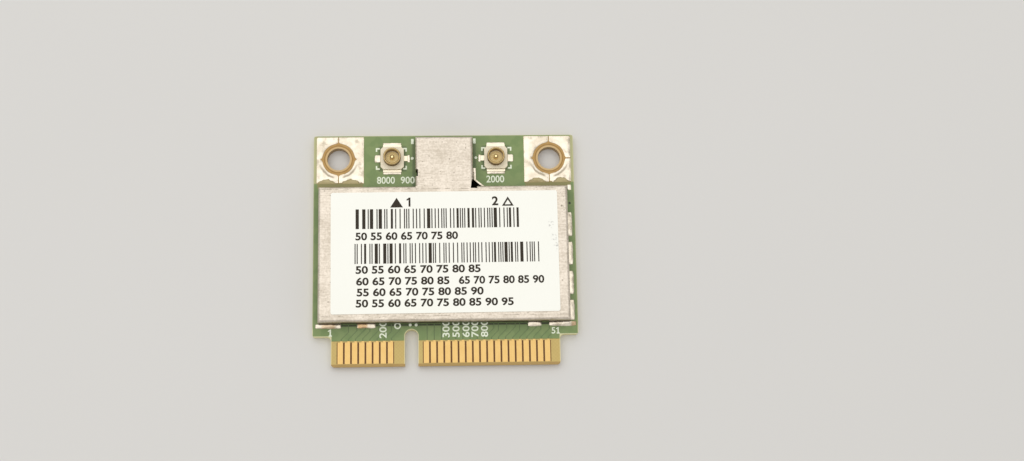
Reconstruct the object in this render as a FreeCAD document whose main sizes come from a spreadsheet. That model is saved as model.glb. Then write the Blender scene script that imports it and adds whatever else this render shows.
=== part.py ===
import FreeCAD, Part
import math
import os
import re
import Sketcher

# A half-size plug-in radio card, lying on its flat underside. All lengths are millimetres.
# The origin is the middle of the underside of the board. X runs along the board's width,
# Y from the edge contacts towards the antenna sockets, and Z up out of the component side.

# Driving dimensions: name, value and what it measures.
SIZES = (
    ("board_width", "29.85", "board, side to side"),
    ("board_length", "26.65", "board, contact edge to antenna edge"),
    ("board_thickness", "1.0", "board, underside to component side"),
    ("board_corner", "0.25", "radius of the board's outer corners"),
    ("tab_width", "25.7", "edge tab, side to side"),
    ("tab_length", "3.37", "edge tab, contact edge to the steps beside it"),
    ("tab_corner", "0.35", "radius of the edge tab's corners"),
    ("step_corner", "0.5", "radius inside the steps beside the tab"),
    ("bevel", "0.3", "lead-in bevel along the contact edge"),
    ("key_offset", "3.85", "key notch, left of the middle"),
    ("key_width", "1.5", "key notch, side to side"),
    ("key_depth", "4.1", "key notch, from the contact edge"),
    ("bare_length", "2.86", "laminate without solder mask, from the contact edge"),
    ("copper", "0.04", "thickness of contacts and plated pads"),
    ("contact_pitch", "0.8", "edge contacts, centre to centre"),
    ("contact_width", "0.6", "edge contact, side to side"),
    ("contact_length", "2.4", "edge contact, end to end"),
    ("contact_setback", "0.3", "edge contacts, from the contact edge"),
    ("contact_margin", "1.05", "first contact's centre, from the tab's left side"),
    ("key_to_contact", "1.65", "first contact right of the key, from the key's centre"),
    ("underside_shift", "0.4", "underside contacts, moved to the right"),
    ("left_contact_count", "8", "contacts left of the key, on each face"),
    ("right_contact_count", "18", "contacts right of the key, on each face"),
    ("hole_radius", "1.3", "mounting hole inside its plating"),
    ("hole_inset", "2.825", "mounting holes, from the board's sides"),
    ("hole_setback", "2.75", "mounting holes, from the antenna edge"),
    ("plating", "0.05", "wall of the plated mounting hole"),
    ("pad_inward", "2.9", "mounting pad, from the hole towards the card's middle"),
    ("pad_outward", "2.5", "mounting pad, from the hole towards the card's sides"),
    ("pad_rearward", "2.62", "mounting pad, from the hole towards the antenna edge"),
    ("ring_radius", "1.85", "bare plated ring around the mounting hole"),
    ("solder_gap", "0.2", "gaps between the solder quarters"),
    ("solder_inset", "0.06", "solder quarters, inside the pad's edge"),
    ("solder_height", "0.16", "solder quarters, above the pad"),
    ("solder_bevel", "0.1", "sloping shoulders of the solder quarters"),
    ("can_left_gap", "0.68", "shield can, from the board's left side"),
    ("can_right_gap", "0.93", "shield can, from the board's right side"),
    ("can_front_gap", "4.78", "shield can, from the contact edge"),
    ("can_rear_gap", "6.38", "shield can's body, from the antenna edge"),
    ("can_height", "1.6", "shield can, above the board"),
    ("neck_setback", "0.55", "shield can's neck, from the antenna edge"),
    ("neck_to_socket", "2.68", "shield can's neck, from the antenna sockets' centres"),
    ("sheet", "0.2", "thickness of the shield can's sheet metal"),
    ("bend_radius", "0.3", "outer radius of the can's bends"),
    ("corner_slit", "0.12", "slits where the folded walls meet"),
    ("foot_gap", "0.2", "openings under the can's front wall, upwards"),
    ("corner_foot", "2.4", "feet at the can's front corners, along the wall"),
    ("left_foot_offset", "4.3", "left front foot, from the can's left wall"),
    ("left_foot_width", "2.06", "left front foot, along the wall"),
    ("right_foot_offset", "3.23", "right front foot, from the can's right wall"),
    ("right_foot_width", "1.5", "right front foot, along the wall"),
    ("feed_opening", "1.2", "openings in the neck's walls for the antenna feeds"),
    ("left_relief_length", "0.82", "relief slot in the neck's left wall"),
    ("left_relief_offset", "1.18", "relief slot, from the can's rear wall"),
    ("right_relief_width", "0.75", "corner relief right of the neck, across"),
    ("right_relief_length", "1.05", "corner relief right of the neck, along"),
    ("relief_depth", "0.28", "reliefs, into the can's top"),
    ("fillet_width", "0.42", "solder fillets along the can's feet, outwards"),
    ("fillet_height", "0.22", "solder fillets along the can's feet, upwards"),
    ("strip_length", "2.7", "solder strips along the can's right wall"),
    ("strip_pitch", "3.33", "solder strips, centre to centre"),
    ("strip_offset", "1.35", "first strip's centre, from the can's front wall"),
    ("strip_count", "4", "solder strips along the right wall"),
    ("label_left_margin", "1.435", "label, from the can's left wall"),
    ("label_right_margin", "1.185", "label, from the can's right wall"),
    ("label_front_margin", "0.9", "label, from the can's front wall"),
    ("label_rear_margin", "0.69", "label, from the can's rear wall"),
    ("label_thickness", "0.1", "label's paper and adhesive"),
    ("label_tilt", "0.23", "label, turned in degrees"),
    ("label_corner", "0.25", "radius of the label's corners"),
    ("socket_to_hole", "6.15", "antenna sockets, from the mounting holes towards the middle"),
    ("socket_setback", "2.73", "antenna sockets, from the antenna edge"),
    ("base_side", "2.65", "socket's insulating base, side to side"),
    ("base_height", "0.4", "socket's insulating base, upwards"),
    ("base_chamfer", "0.3", "corners of the insulating base"),
    ("ring_outer", "1.0", "outer radius of the ground ring"),
    ("ring_inner", "0.8", "inner radius of the ground ring"),
    ("ring_top", "1.25", "ground ring, above the board"),
    ("ring_seat", "0.1", "ground ring, sunk in the insulating base"),
    ("ring_lip", "0.07", "chamfers of the ground ring's mouth"),
    ("snap_height", "0.8", "snap groove, above the board"),
    ("snap_width", "0.24", "snap groove, upwards"),
    ("snap_depth", "0.07", "snap groove, into the ground ring"),
    ("leg_width", "2.1", "ground legs, side to side"),
    ("leg_reach", "1.6", "ground legs, from the socket's centre"),
    ("leg_thickness", "0.15", "ground legs, sheet thickness"),
    ("socket_window", "1.0", "window for the insulator under the ground ring"),
    ("pin_radius", "0.25", "centre contact"),
    ("pin_height", "0.95", "centre contact, above the board"),
    ("pin_tip", "0.12", "centre contact's tapered tip"),
    ("tail_width", "0.6", "centre contact's tail, side to side"),
    ("tail_reach", "1.75", "centre contact's tail, from the socket's centre"),
    ("tail_thickness", "0.1", "centre contact's tail, sheet thickness"),
    ("joint_length", "0.28", "solder joints, past the legs and the tail"),
    ("joint_width", "0.86", "solder joints of the tail and of the spare pad, side to side"),
    ("joint_height", "0.13", "solder joints, upwards"),
    ("radio_side", "7.0", "radio chip, side to side"),
    ("radio_height", "0.85", "radio chip, upwards"),
    ("radio_left", "4.375", "radio chip, left of the can's middle"),
    ("radio_front", "0.6", "radio chip, in front of the can's middle"),
    ("terminal_pitch", "0.5", "radio chip's terminals, centre to centre"),
    ("terminal_width", "0.2", "radio chip's terminal, side to side"),
    ("terminal_length", "0.45", "radio chip's terminal, end to end"),
    ("terminal_count", "12", "radio chip's terminals on each side"),
    ("standoff", "0.05", "chips, above the board on their terminals"),
    ("chip_corner", "0.25", "chamfered first-terminal corner of a chip"),
    ("crystal_length", "3.2", "crystal, along Y"),
    ("crystal_width", "2.5", "crystal, along X"),
    ("crystal_base", "0.45", "crystal's ceramic base, upwards"),
    ("crystal_lid", "0.25", "crystal's metal lid, upwards"),
    ("crystal_rim", "0.2", "crystal's ledge around the lid"),
    ("crystal_inset", "3.25", "crystal, from the can's left wall"),
    ("memory_length", "3.0", "memory chip's body, along Y"),
    ("memory_width", "4.4", "memory chip's body, along X"),
    ("memory_height", "1.0", "memory chip's body, upwards"),
    ("memory_inset", "4.4", "memory chip, from the can's right wall"),
    ("memory_front", "3.2", "memory chip, in front of the can's middle"),
    ("memory_pitch", "0.65", "memory chip's leads, centre to centre"),
    ("memory_lead_count", "4", "memory chip's leads on each side"),
    ("regulator_length", "2.9", "regulator's body, along Y"),
    ("regulator_width", "1.6", "regulator's body, along X"),
    ("regulator_right", "3.325", "regulator, right of the can's middle"),
    ("regulator_front", "4.4", "regulator, in front of the can's middle"),
    ("regulator_pitch", "0.95", "regulator's leads, centre to centre"),
    ("regulator_lead_count", "3", "regulator's leads on each side"),
    ("lead_reach", "0.7", "chip leads, out of the chip's body"),
    ("lead_foot", "0.4", "chip leads, flat on the board"),
    ("lead_width", "0.3", "chip leads, side to side"),
    ("lead_sheet", "0.15", "chip leads, sheet thickness"),
    ("inductor_side", "3.0", "power inductor, side to side"),
    ("inductor_height", "1.2", "power inductor, upwards"),
    ("inductor_chamfer", "0.5", "power inductor's corners"),
    ("inductor_right", "3.525", "power inductor, right of the can's middle"),
    ("inductor_rear", "1.4", "power inductor, behind the can's middle"),
    ("switch_side", "2.0", "antenna switch, side to side"),
    ("switch_height", "0.75", "antenna switch, upwards"),
    ("switch_inset", "2.175", "antenna switch, from the rear of the can's neck"),
    ("filter_length", "2.0", "radio filter, along Y"),
    ("filter_width", "1.25", "radio filter, along X"),
    ("filter_height", "0.9", "radio filter, upwards"),
    ("filter_right", "2.325", "radio filters, right of the can's middle"),
    ("filter_spacing", "2.4", "radio filters, centre to centre"),
    ("filter_inset", "1.5", "radio filters, from the can's rear wall"),
    ("filter_round", "0.08", "rounding of the radio filters"),
    ("passive_length", "1.0", "chip capacitor or resistor, end to end"),
    ("passive_width", "0.5", "chip capacitor or resistor, side to side"),
    ("passive_end", "0.22", "metal ends of a chip capacitor or resistor"),
    ("passive_step", "0.03", "metal ends, proud of the body between them"),
    ("passive_pitch", "0.95", "rows of capacitors and resistors, centre to centre"),
    ("capacitor_height", "0.5", "chip capacitor, upwards"),
    ("resistor_height", "0.35", "chip resistor, upwards"),
    ("capacitor_count", "6", "capacitors in a row"),
    ("resistor_count", "5", "resistors in a row"),
    ("row_clearance", "1.1", "capacitor and resistor rows, from their neighbour"),
)

# Places that several pieces share, as formulas on the sheet.
BOARD_RIGHT = "(board_width / 2)"
BOARD_FRONT = "(-board_length / 2)"
BOARD_REAR = "(board_length / 2)"
TAB_RIGHT = "(tab_width / 2)"
STEP_EDGE = "(tab_length - board_length / 2)"
BARE_EDGE = "(bare_length - board_length / 2)"
HOLE_X = "(board_width / 2 - hole_inset)"
HOLE_Y = "(board_length / 2 - hole_setback)"
CAN_LEFT = "(can_left_gap - board_width / 2)"
CAN_RIGHT = "(board_width / 2 - can_right_gap)"
CAN_FRONT = "(can_front_gap - board_length / 2)"
CAN_REAR = "(board_length / 2 - can_rear_gap)"
CAN_X = "((can_left_gap - can_right_gap) / 2)"
CAN_Y = "((can_front_gap - can_rear_gap) / 2)"
CAN_TOP = "(board_thickness + can_height)"
NECK_RIGHT = "(board_width / 2 - hole_inset - socket_to_hole - neck_to_socket)"
NECK_REAR = "(board_length / 2 - neck_setback)"
SOCKET_X = "(board_width / 2 - hole_inset - socket_to_hole)"
SOCKET_Y = "(board_length / 2 - socket_setback)"
RING_FOOT = "(base_height - ring_seat)"
RADIO_X = f"({CAN_X} - radio_left)"
RADIO_Y = f"({CAN_Y} - radio_front)"
MEMORY_X = f"({CAN_RIGHT} - memory_inset)"
MEMORY_Y = f"({CAN_Y} - memory_front)"
TOUCH = 1e-4

# The numbers by which a sketch knows the points of a line, circle or arc.
START, END, CENTRE = range(1, 4)

doc = FreeCAD.newDocument("radio_card")
sheet = doc.addObject("Spreadsheet::Sheet", "Sizes")
for row, (alias, value, meaning) in enumerate(SIZES, 1):
    sheet.set(f"A{row}", alias)
    sheet.set(f"B{row}", value)
    sheet.set(f"C{row}", meaning)
    sheet.setAlias(f"B{row}", alias)
doc.recompute()
sub_parts = []


def formula(text):
    """The text as an expression of the document, each name read from the sheet."""
    return re.sub(r"[a-z]\w*", r"Sizes.\g<0>", text)


def measure(text):
    """The present value of a formula on the sheet."""
    return float(sheet.evalExpression(text))


def new_body(label, x="0", y="0", z="0", part=True):
    """An empty body placed by formulas; a part is one of the card's own pieces."""
    body = doc.addObject("PartDesign::Body", label)
    body.Label = label
    body.setExpression("Placement.Base.x", formula(x))
    body.setExpression("Placement.Base.y", formula(y))
    body.setExpression("Placement.Base.z", formula(z))
    if part:
        sub_parts.append(body)
    return body


def origin_feature(body, role):
    return next(item for item in body.Origin.OriginFeatures if item.Role == role)


def new_sketch(body, level="0", plane="XY_Plane"):
    """An empty sketch on one of the body's planes, raised along the plane's normal."""
    sketch = body.newObject("Sketcher::SketchObject", f"{body.Name}_sketch")
    sketch.AttachmentSupport = [(origin_feature(body, plane), "")]
    sketch.MapMode = "FlatFace"
    sketch.setExpression("AttachmentOffset.Base.z", formula(level))
    return sketch


def tie(sketch, kind, item, text, point=START):
    """Holds a line's end or a round's centre at a formula's distance from the sketch's origin."""
    rule = Sketcher.Constraint(kind, -1, 1, item, point, measure(text))
    sketch.setExpression(f"Constraints[{sketch.addConstraint(rule)}]", formula(text))


def polygon(sketch, corners):
    """A closed outline whose corners are pairs of formulas."""
    points = [FreeCAD.Vector(measure(x), measure(y), 0) for x, y in corners]
    first = sketch.GeometryCount
    following = points[1:] + points[:1]
    for start, end in zip(points, following):
        sketch.addGeometry(Part.LineSegment(start, end), False)
    for index in range(len(points)):
        after = first + (index + 1) % len(points)
        sketch.addConstraint(Sketcher.Constraint("Coincident", first + index, END, after, START))
    for index, (x, y) in enumerate(corners):
        tie(sketch, "DistanceX", first + index, x)
        tie(sketch, "DistanceY", first + index, y)


def rectangle(sketch, left, right, front, rear):
    polygon(sketch, [(left, front), (right, front), (right, rear), (left, rear)])


def circle(sketch, x, y, radius):
    centre = FreeCAD.Vector(measure(x), measure(y), 0)
    index = sketch.addGeometry(Part.Circle(centre, FreeCAD.Vector(0, 0, 1), measure(radius)), False)
    tie(sketch, "DistanceX", index, x, CENTRE)
    tie(sketch, "DistanceY", index, y, CENTRE)
    rule = Sketcher.Constraint("Radius", index, measure(radius))
    sketch.setExpression(f"Constraints[{sketch.addConstraint(rule)}]", formula(radius))


def spandrel(sketch, edge, inwards, level, radius):
    """The waste outside a rounded edge: two straight lines that meet at the edge, and an arc."""
    touch = f"{edge} + {inwards} * {radius}"
    centre = FreeCAD.Vector(measure(touch), measure(f"{level} - {radius}"), 0)
    upper = FreeCAD.Vector(centre.x, measure(level), 0)
    corner = FreeCAD.Vector(measure(edge), measure(level), 0)
    lower = FreeCAD.Vector(corner.x, centre.y, 0)
    along = sketch.addGeometry(Part.LineSegment(upper, corner), False)
    down = sketch.addGeometry(Part.LineSegment(corner, lower), False)
    ring = Part.Circle(centre, FreeCAD.Vector(0, 0, 1), measure(radius))
    quarter = (math.pi / 2, math.pi) if inwards > 0 else (0, math.pi / 2)
    arc = sketch.addGeometry(Part.ArcOfCircle(ring, *quarter), False)
    above, below = (START, END) if inwards > 0 else (END, START)
    sketch.addConstraint(Sketcher.Constraint("Coincident", along, END, down, START))
    sketch.addConstraint(Sketcher.Constraint("Coincident", along, START, arc, above))
    sketch.addConstraint(Sketcher.Constraint("Coincident", down, END, arc, below))
    for item, point, x, y in ((along, START, touch, level), (down, START, edge, level),
                              (arc, CENTRE, touch, f"{level} - {radius}")):
        tie(sketch, "DistanceX", item, x, point)
        tie(sketch, "DistanceY", item, y, point)
    tie(sketch, "DistanceY", down, f"{level} - {radius}", END)


def pad(body, sketch, length, both_ways=False):
    """Grows a sketch into material, up from its plane or half to each side of it."""
    feature = body.newObject("PartDesign::Pad", f"{body.Name}_pad")
    feature.Profile = sketch
    feature.setExpression("Length", formula(length))
    feature.Midplane = both_ways
    doc.recompute()
    return feature


def cut(body, sketch, length, upwards=False, both_ways=False):
    """Removes a sketch's area to a depth, and makes sure that something was removed."""
    before = body.Shape.Volume
    feature = body.newObject("PartDesign::Pocket", f"{body.Name}_cut")
    feature.Profile = sketch
    feature.setExpression("Length", formula(length))
    feature.Reversed = upwards
    feature.Midplane = both_ways
    doc.recompute()
    if body.Shape.Volume >= before:
        raise RuntimeError(f"{feature.Name} removes nothing")
    return feature


def row_of(body, features, axis, pitch, count):
    """Repeats features along one of the body's axes."""
    pattern = body.newObject("PartDesign::LinearPattern", f"{body.Name}_row")
    pattern.Originals = features
    pattern.Direction = (origin_feature(body, axis), [""])
    pattern.setExpression("Length", formula(f"{pitch} * ({count} - 1)"))
    pattern.setExpression("Occurrences", formula(count))
    body.Tip = pattern
    doc.recompute()
    return pattern


def revolve(body, sketch):
    """Turns a profile drawn on the XZ plane about Z."""
    feature = body.newObject("PartDesign::Revolution", f"{body.Name}_turn")
    feature.Profile = sketch
    feature.ReferenceAxis = (sketch, ["V_Axis"])
    feature.Angle = 360
    doc.recompute()
    return feature


def edge_names(feature, wanted):
    return [f"Edge{index}" for index, edge in enumerate(feature.Shape.Edges, 1) if wanted(edge)]


def dress(body, kind, size_name, size_text, wanted):
    """Fillets or chamfers the edges of the body's last feature that are wanted."""
    base = body.Tip
    feature = body.newObject(f"PartDesign::{kind}", f"{body.Name}_{kind.lower()}")
    feature.Base = (base, edge_names(base, wanted))
    feature.setExpression(size_name, formula(size_text))
    doc.recompute()
    return feature


def fillet(body, radius, wanted):
    return dress(body, "Fillet", "Radius", radius, wanted)


def chamfer(body, size, wanted):
    return dress(body, "Chamfer", "Size", size, wanted)


def upright_at(corners):
    """Picks upright edges that stand at the given corners."""
    places = [(measure(x), measure(y)) for x, y in corners]

    def wanted(edge):
        box = edge.BoundBox
        upright = box.XLength < TOUCH and box.YLength < TOUCH
        return upright and any(abs(box.XMin - x) < TOUCH and abs(box.YMin - y) < TOUCH for x, y in places)
    return wanted


def level_at(height):
    """Picks edges that lie at a height."""
    z = measure(height)
    return lambda edge: abs(edge.BoundBox.ZMin - z) < TOUCH and abs(edge.BoundBox.ZMax - z) < TOUCH


def pad_edges(side):
    """The mounting pad's left, right, front and rear edges on one side of the card."""
    inner = f"{side} * ({HOLE_X} - pad_inward)"
    outer = f"{side} * ({HOLE_X} + pad_outward)"
    left, right = (outer, inner) if side < 0 else (inner, outer)
    return left, right, f"{HOLE_Y} - pad_inward", f"{HOLE_Y} + pad_rearward"


def build_board():
    """The laminate: stepped outline, key notch, bevelled tab and recesses that seat the copper."""
    board = new_body("circuit_board")
    outline = new_sketch(board)
    right_side = [
        (TAB_RIGHT, BOARD_FRONT),
        (TAB_RIGHT, STEP_EDGE),
        (BOARD_RIGHT, STEP_EDGE),
        (BOARD_RIGHT, BOARD_REAR),
    ]
    left_side = [(f"-{x}", y) for x, y in reversed(right_side)]
    polygon(outline, right_side + left_side)
    pad(board, outline, "board_thickness")
    both_sides = [right_side, left_side[::-1]]
    fillet(board, "tab_corner", upright_at([side[0] for side in both_sides]))
    fillet(board, "step_corner", upright_at([side[1] for side in both_sides]))
    fillet(board, "board_corner", upright_at([corner for side in both_sides for corner in side[2:]]))
    for face, inside in (("board_thickness", "board_thickness - bevel"), ("0", "bevel")):
        wedge = new_sketch(board, plane="YZ_Plane")
        polygon(wedge, [(BOARD_FRONT, face), (f"{BOARD_FRONT} + bevel", face), (BOARD_FRONT, inside)])
        cut(board, wedge, "board_width", both_ways=True)
    notch = new_sketch(board)
    notch_end = f"{BOARD_FRONT} + key_depth - key_width / 2"
    rectangle(notch, "-key_offset - key_width / 2", "key_width / 2 - key_offset", BOARD_FRONT, notch_end)
    cut(board, notch, "board_thickness", upwards=True)
    notch_round = new_sketch(board)
    circle(notch_round, "-key_offset", notch_end, "key_width / 2")
    cut(board, notch_round, "board_thickness", upwards=True)
    for level, upwards in (("board_thickness", False), ("0", True)):
        recess = new_sketch(board, level)
        rectangle(recess, f"-{TAB_RIGHT}", TAB_RIGHT, BOARD_FRONT, BARE_EDGE)
        for side in (-1, 1):
            rectangle(recess, *pad_edges(side))
        cut(board, recess, "copper", upwards)
    holes = new_sketch(board)
    for side in (-1, 1):
        circle(holes, f"{side} * {HOLE_X}", HOLE_Y, "hole_radius + plating")
    cut(board, holes, "board_thickness", upwards=True)


def build_edge_contacts(label, level, shift):
    """A row of gold contacts on each side of the key, flush with one face of the board."""
    contacts = new_body(label, x=shift, z=level)
    groups = (
        ("contact_margin - tab_width / 2", "left_contact_count"),
        ("key_to_contact - key_offset", "right_contact_count"),
    )
    for centre, count in groups:
        first = new_sketch(contacts)
        rear = f"{BOARD_FRONT} + contact_setback + contact_length"
        left = f"{centre} - contact_width / 2"
        rectangle(first, left, f"{left} + contact_width", f"{BOARD_FRONT} + contact_setback", rear)
        row_of(contacts, [pad(contacts, first, "copper")], "X_Axis", "contact_pitch", count)


def build_mounting_pad(label, side):
    """A square pad on each face of the board, joined by the plated wall of the mounting hole."""
    plated = new_body(label)
    centre = (f"{side} * {HOLE_X}", HOLE_Y)
    wall = "board_thickness - copper * 2"
    lower = new_sketch(plated)
    rectangle(lower, *pad_edges(side))
    circle(lower, *centre, "hole_radius")
    pad(plated, lower, "copper")
    barrel = new_sketch(plated, "copper")
    circle(barrel, *centre, "hole_radius + plating")
    circle(barrel, *centre, "hole_radius")
    pad(plated, barrel, wall)
    upper = new_sketch(plated, "board_thickness - copper")
    rectangle(upper, *pad_edges(side))
    circle(upper, *centre, "hole_radius")
    pad(plated, upper, "copper")


def build_pad_solder(label, side):
    """Four quarters of solder around a mounting hole, with sloping shoulders."""
    solder = new_body(label)
    left, right, front, rear = pad_edges(side)
    sheet_of_solder = new_sketch(solder, "board_thickness")
    rectangle(sheet_of_solder, f"{left} + solder_inset", f"{right} - solder_inset",
              f"{front} + solder_inset", f"{rear} - solder_inset")
    pad(solder, sheet_of_solder, "solder_height")
    x = f"{side} * {HOLE_X}"
    ring = new_sketch(solder, "board_thickness")
    circle(ring, x, HOLE_Y, "ring_radius")
    cut(solder, ring, "solder_height", upwards=True)
    gaps = (
        (f"{x} - solder_gap / 2", f"{x} + solder_gap / 2", front, rear),
        (left, right, f"{HOLE_Y} - solder_gap / 2", f"{HOLE_Y} + solder_gap / 2"),
    )
    for edges in gaps:
        gap = new_sketch(solder, "board_thickness")
        rectangle(gap, *edges)
        cut(solder, gap, "solder_height", upwards=True)
    chamfer(solder, "solder_bevel", level_at("board_thickness + solder_height"))


def can_outline(inset):
    """The T-shaped plan of the shield can, at its walls' outer faces or inset from them."""
    front = f"-(-{CAN_FRONT}{inset})"
    right_side = [
        (f"({CAN_RIGHT}{inset})", front),
        (f"({CAN_RIGHT}{inset})", f"{CAN_REAR}{inset}"),
        (f"({NECK_RIGHT}{inset})", f"{CAN_REAR}{inset}"),
        (f"({NECK_RIGHT}{inset})", f"{NECK_REAR}{inset}"),
    ]
    left_side = [
        (f"-({NECK_RIGHT}{inset})", f"{NECK_REAR}{inset}"),
        (f"-({NECK_RIGHT}{inset})", f"{CAN_REAR}{inset}"),
        (f"-(-{CAN_LEFT}{inset})", f"{CAN_REAR}{inset}"),
        (f"-(-{CAN_LEFT}{inset})", front),
    ]
    return right_side + left_side


def build_shield_can():
    """One folded sheet: a T-shaped lid with walls, feet, corner slits and bend reliefs."""
    can = new_body("shield_can")
    plan = new_sketch(can, "board_thickness")
    outer = [
        (CAN_LEFT, CAN_FRONT),
        (CAN_RIGHT, CAN_FRONT),
        (CAN_RIGHT, CAN_REAR),
        (NECK_RIGHT, NECK_REAR),
        (f"-{NECK_RIGHT}", NECK_REAR),
        (CAN_LEFT, CAN_REAR),
    ]
    polygon(plan, can_outline(""))
    pad(can, plan, "can_height")
    left_neck = f"-{NECK_RIGHT}"
    bends = (
        ("XZ_Plane", "0", ((CAN_LEFT, 1), (CAN_RIGHT, -1)), {"both_ways": True}),
        ("YZ_Plane", "0", ((CAN_FRONT, 1), (NECK_REAR, -1)), {"both_ways": True}),
        ("XZ_Plane", f"-{CAN_REAR}", ((left_neck, 1), (NECK_RIGHT, -1)), {}),
        ("YZ_Plane", left_neck, ((CAN_REAR, -1),), {}),
        ("YZ_Plane", NECK_RIGHT, ((CAN_REAR, -1),), {"upwards": True}),
    )
    for plane, level, edges, direction in bends:
        waste = new_sketch(can, level, plane)
        for edge, inwards in edges:
            spandrel(waste, edge, inwards, CAN_TOP, "bend_radius")
        cut(can, waste, "board_width + board_length", **direction)
    hollow = new_sketch(can, "board_thickness")
    polygon(hollow, can_outline(" - sheet"))
    cut(can, hollow, "can_height - sheet", upwards=True)
    openings = new_sketch(can, "board_thickness")
    left_foot = f"{CAN_LEFT} + left_foot_offset"
    right_foot = f"{CAN_RIGHT} - right_foot_offset"
    spans = (
        (f"{CAN_LEFT} + corner_foot", left_foot),
        (f"{left_foot} + left_foot_width", f"{right_foot} - right_foot_width"),
        (right_foot, f"{CAN_RIGHT} - corner_foot"),
    )
    for left, right in spans:
        rectangle(openings, left, right, f"{CAN_FRONT} - sheet", f"{CAN_FRONT} + sheet * 2")
    feed_front = f"{SOCKET_Y} - feed_opening / 2"
    for side in (-1, 1):
        wall = f"{side} * {NECK_RIGHT}"
        rectangle(openings, f"{wall} - sheet * 1.5", f"{wall} + sheet * 1.5", feed_front,
                  f"{feed_front} + feed_opening")
    cut(can, openings, "foot_gap", upwards=True)
    slits = new_sketch(can, "board_thickness")
    for x, y in outer:
        inwards = "+" if y == CAN_FRONT else "-"
        start = f"{y} {inwards} sheet"
        end = f"{start} {inwards} corner_slit"
        front, rear = (start, end) if inwards == "+" else (end, start)
        rectangle(slits, f"{x} - sheet * 1.5", f"{x} + sheet * 1.5", front, rear)
    cut(can, slits, "can_height - bend_radius", upwards=True)
    reliefs = new_sketch(can, CAN_TOP)
    slot_front = f"{CAN_REAR} + left_relief_offset"
    rectangle(reliefs, f"-{NECK_RIGHT} - sheet", f"relief_depth - {NECK_RIGHT}", slot_front,
              f"{slot_front} + left_relief_length")
    polygon(reliefs, [
        (f"{NECK_RIGHT} - relief_depth", f"{CAN_REAR} - relief_depth"),
        (f"{NECK_RIGHT} - relief_depth + right_relief_width", f"{CAN_REAR} - relief_depth"),
        (f"{NECK_RIGHT} - relief_depth + right_relief_width", f"{CAN_REAR} + sheet"),
        (f"{NECK_RIGHT} + sheet", f"{CAN_REAR} - relief_depth + right_relief_length"),
        (f"{NECK_RIGHT} - relief_depth / 2", f"{CAN_REAR} - relief_depth + right_relief_length"),
    ])
    cut(can, reliefs, "can_height")


def build_shield_solder():
    """Solder fillets that hold the can's feet to the board."""
    solder = new_body("shield_solder", z="board_thickness")
    section = new_sketch(solder, f"-{CAN_FRONT} - strip_offset", "XZ_Plane")
    outer = f"{CAN_RIGHT} + fillet_width"
    polygon(section, [(CAN_RIGHT, "0"), (outer, "0"), (CAN_RIGHT, "fillet_height")])
    strip = pad(solder, section, "strip_length", both_ways=True)
    row_of(solder, [strip], "Y_Axis", "strip_pitch", "strip_count")
    feet = (
        (f"{CAN_LEFT} + corner_foot / 2", "corner_foot"),
        (f"{CAN_LEFT} + left_foot_offset + left_foot_width / 2", "left_foot_width"),
        (f"{CAN_RIGHT} - right_foot_offset - right_foot_width / 2", "right_foot_width"),
        (f"{CAN_RIGHT} - corner_foot / 2", "corner_foot"),
    )
    for centre, width in feet:
        section = new_sketch(solder, centre, "YZ_Plane")
        outer = f"{CAN_FRONT} - fillet_width"
        polygon(section, [(CAN_FRONT, "0"), (CAN_FRONT, "fillet_height"), (outer, "0")])
        pad(solder, section, width, both_ways=True)


def build_label():
    """The paper label, stuck on the can a little askew."""
    x = f"{CAN_X} + (label_left_margin - label_right_margin) / 2"
    y = f"{CAN_Y} + (label_front_margin - label_rear_margin) / 2"
    label = new_body("printed_label", x, y, CAN_TOP)
    label.Placement.Rotation = FreeCAD.Rotation(FreeCAD.Vector(0, 0, 1), 1)
    label.setExpression("Placement.Rotation.Angle", formula("label_tilt"))
    outline = new_sketch(label)
    half_width = f"(({CAN_RIGHT} - {CAN_LEFT} - label_left_margin - label_right_margin) / 2)"
    half_depth = f"(({CAN_REAR} - {CAN_FRONT} - label_front_margin - label_rear_margin) / 2)"
    rectangle(outline, f"-{half_width}", half_width, f"-{half_depth}", half_depth)
    pad(label, outline, "label_thickness")
    fillet(label, "label_corner", lambda edge: edge.BoundBox.ZLength > TOUCH)


def build_socket_shell(label, x):
    """The ground ring with its snap groove, standing on two legs that lie on the board."""
    shell = new_body(label, x, SOCKET_Y, "board_thickness")
    legs = new_sketch(shell)
    rectangle(legs, "-leg_width / 2", "leg_width / 2", "-leg_reach", "leg_reach")
    circle(legs, "0", "0", "ring_inner")
    pad(shell, legs, "leg_thickness")
    riser = new_sketch(shell, "leg_thickness")
    circle(riser, "0", "0", "ring_outer")
    circle(riser, "0", "0", "ring_inner")
    pad(shell, riser, f"{RING_FOOT} - leg_thickness")
    profile = new_sketch(shell, plane="XZ_Plane")
    polygon(profile, [
        ("ring_inner", RING_FOOT),
        ("ring_outer", RING_FOOT),
        ("ring_outer", "snap_height - snap_width / 2"),
        ("ring_outer - snap_depth", "snap_height"),
        ("ring_outer", "snap_height + snap_width / 2"),
        ("ring_outer", "ring_top - ring_lip"),
        ("ring_outer - ring_lip", "ring_top"),
        ("ring_inner + ring_lip", "ring_top"),
        ("ring_inner", "ring_top - ring_lip"),
    ])
    revolve(shell, profile)
    window = new_sketch(shell)
    rectangle(window, "-leg_reach", "leg_reach", "-socket_window / 2", "socket_window / 2")
    cut(shell, window, RING_FOOT, upwards=True)
    return shell


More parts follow.
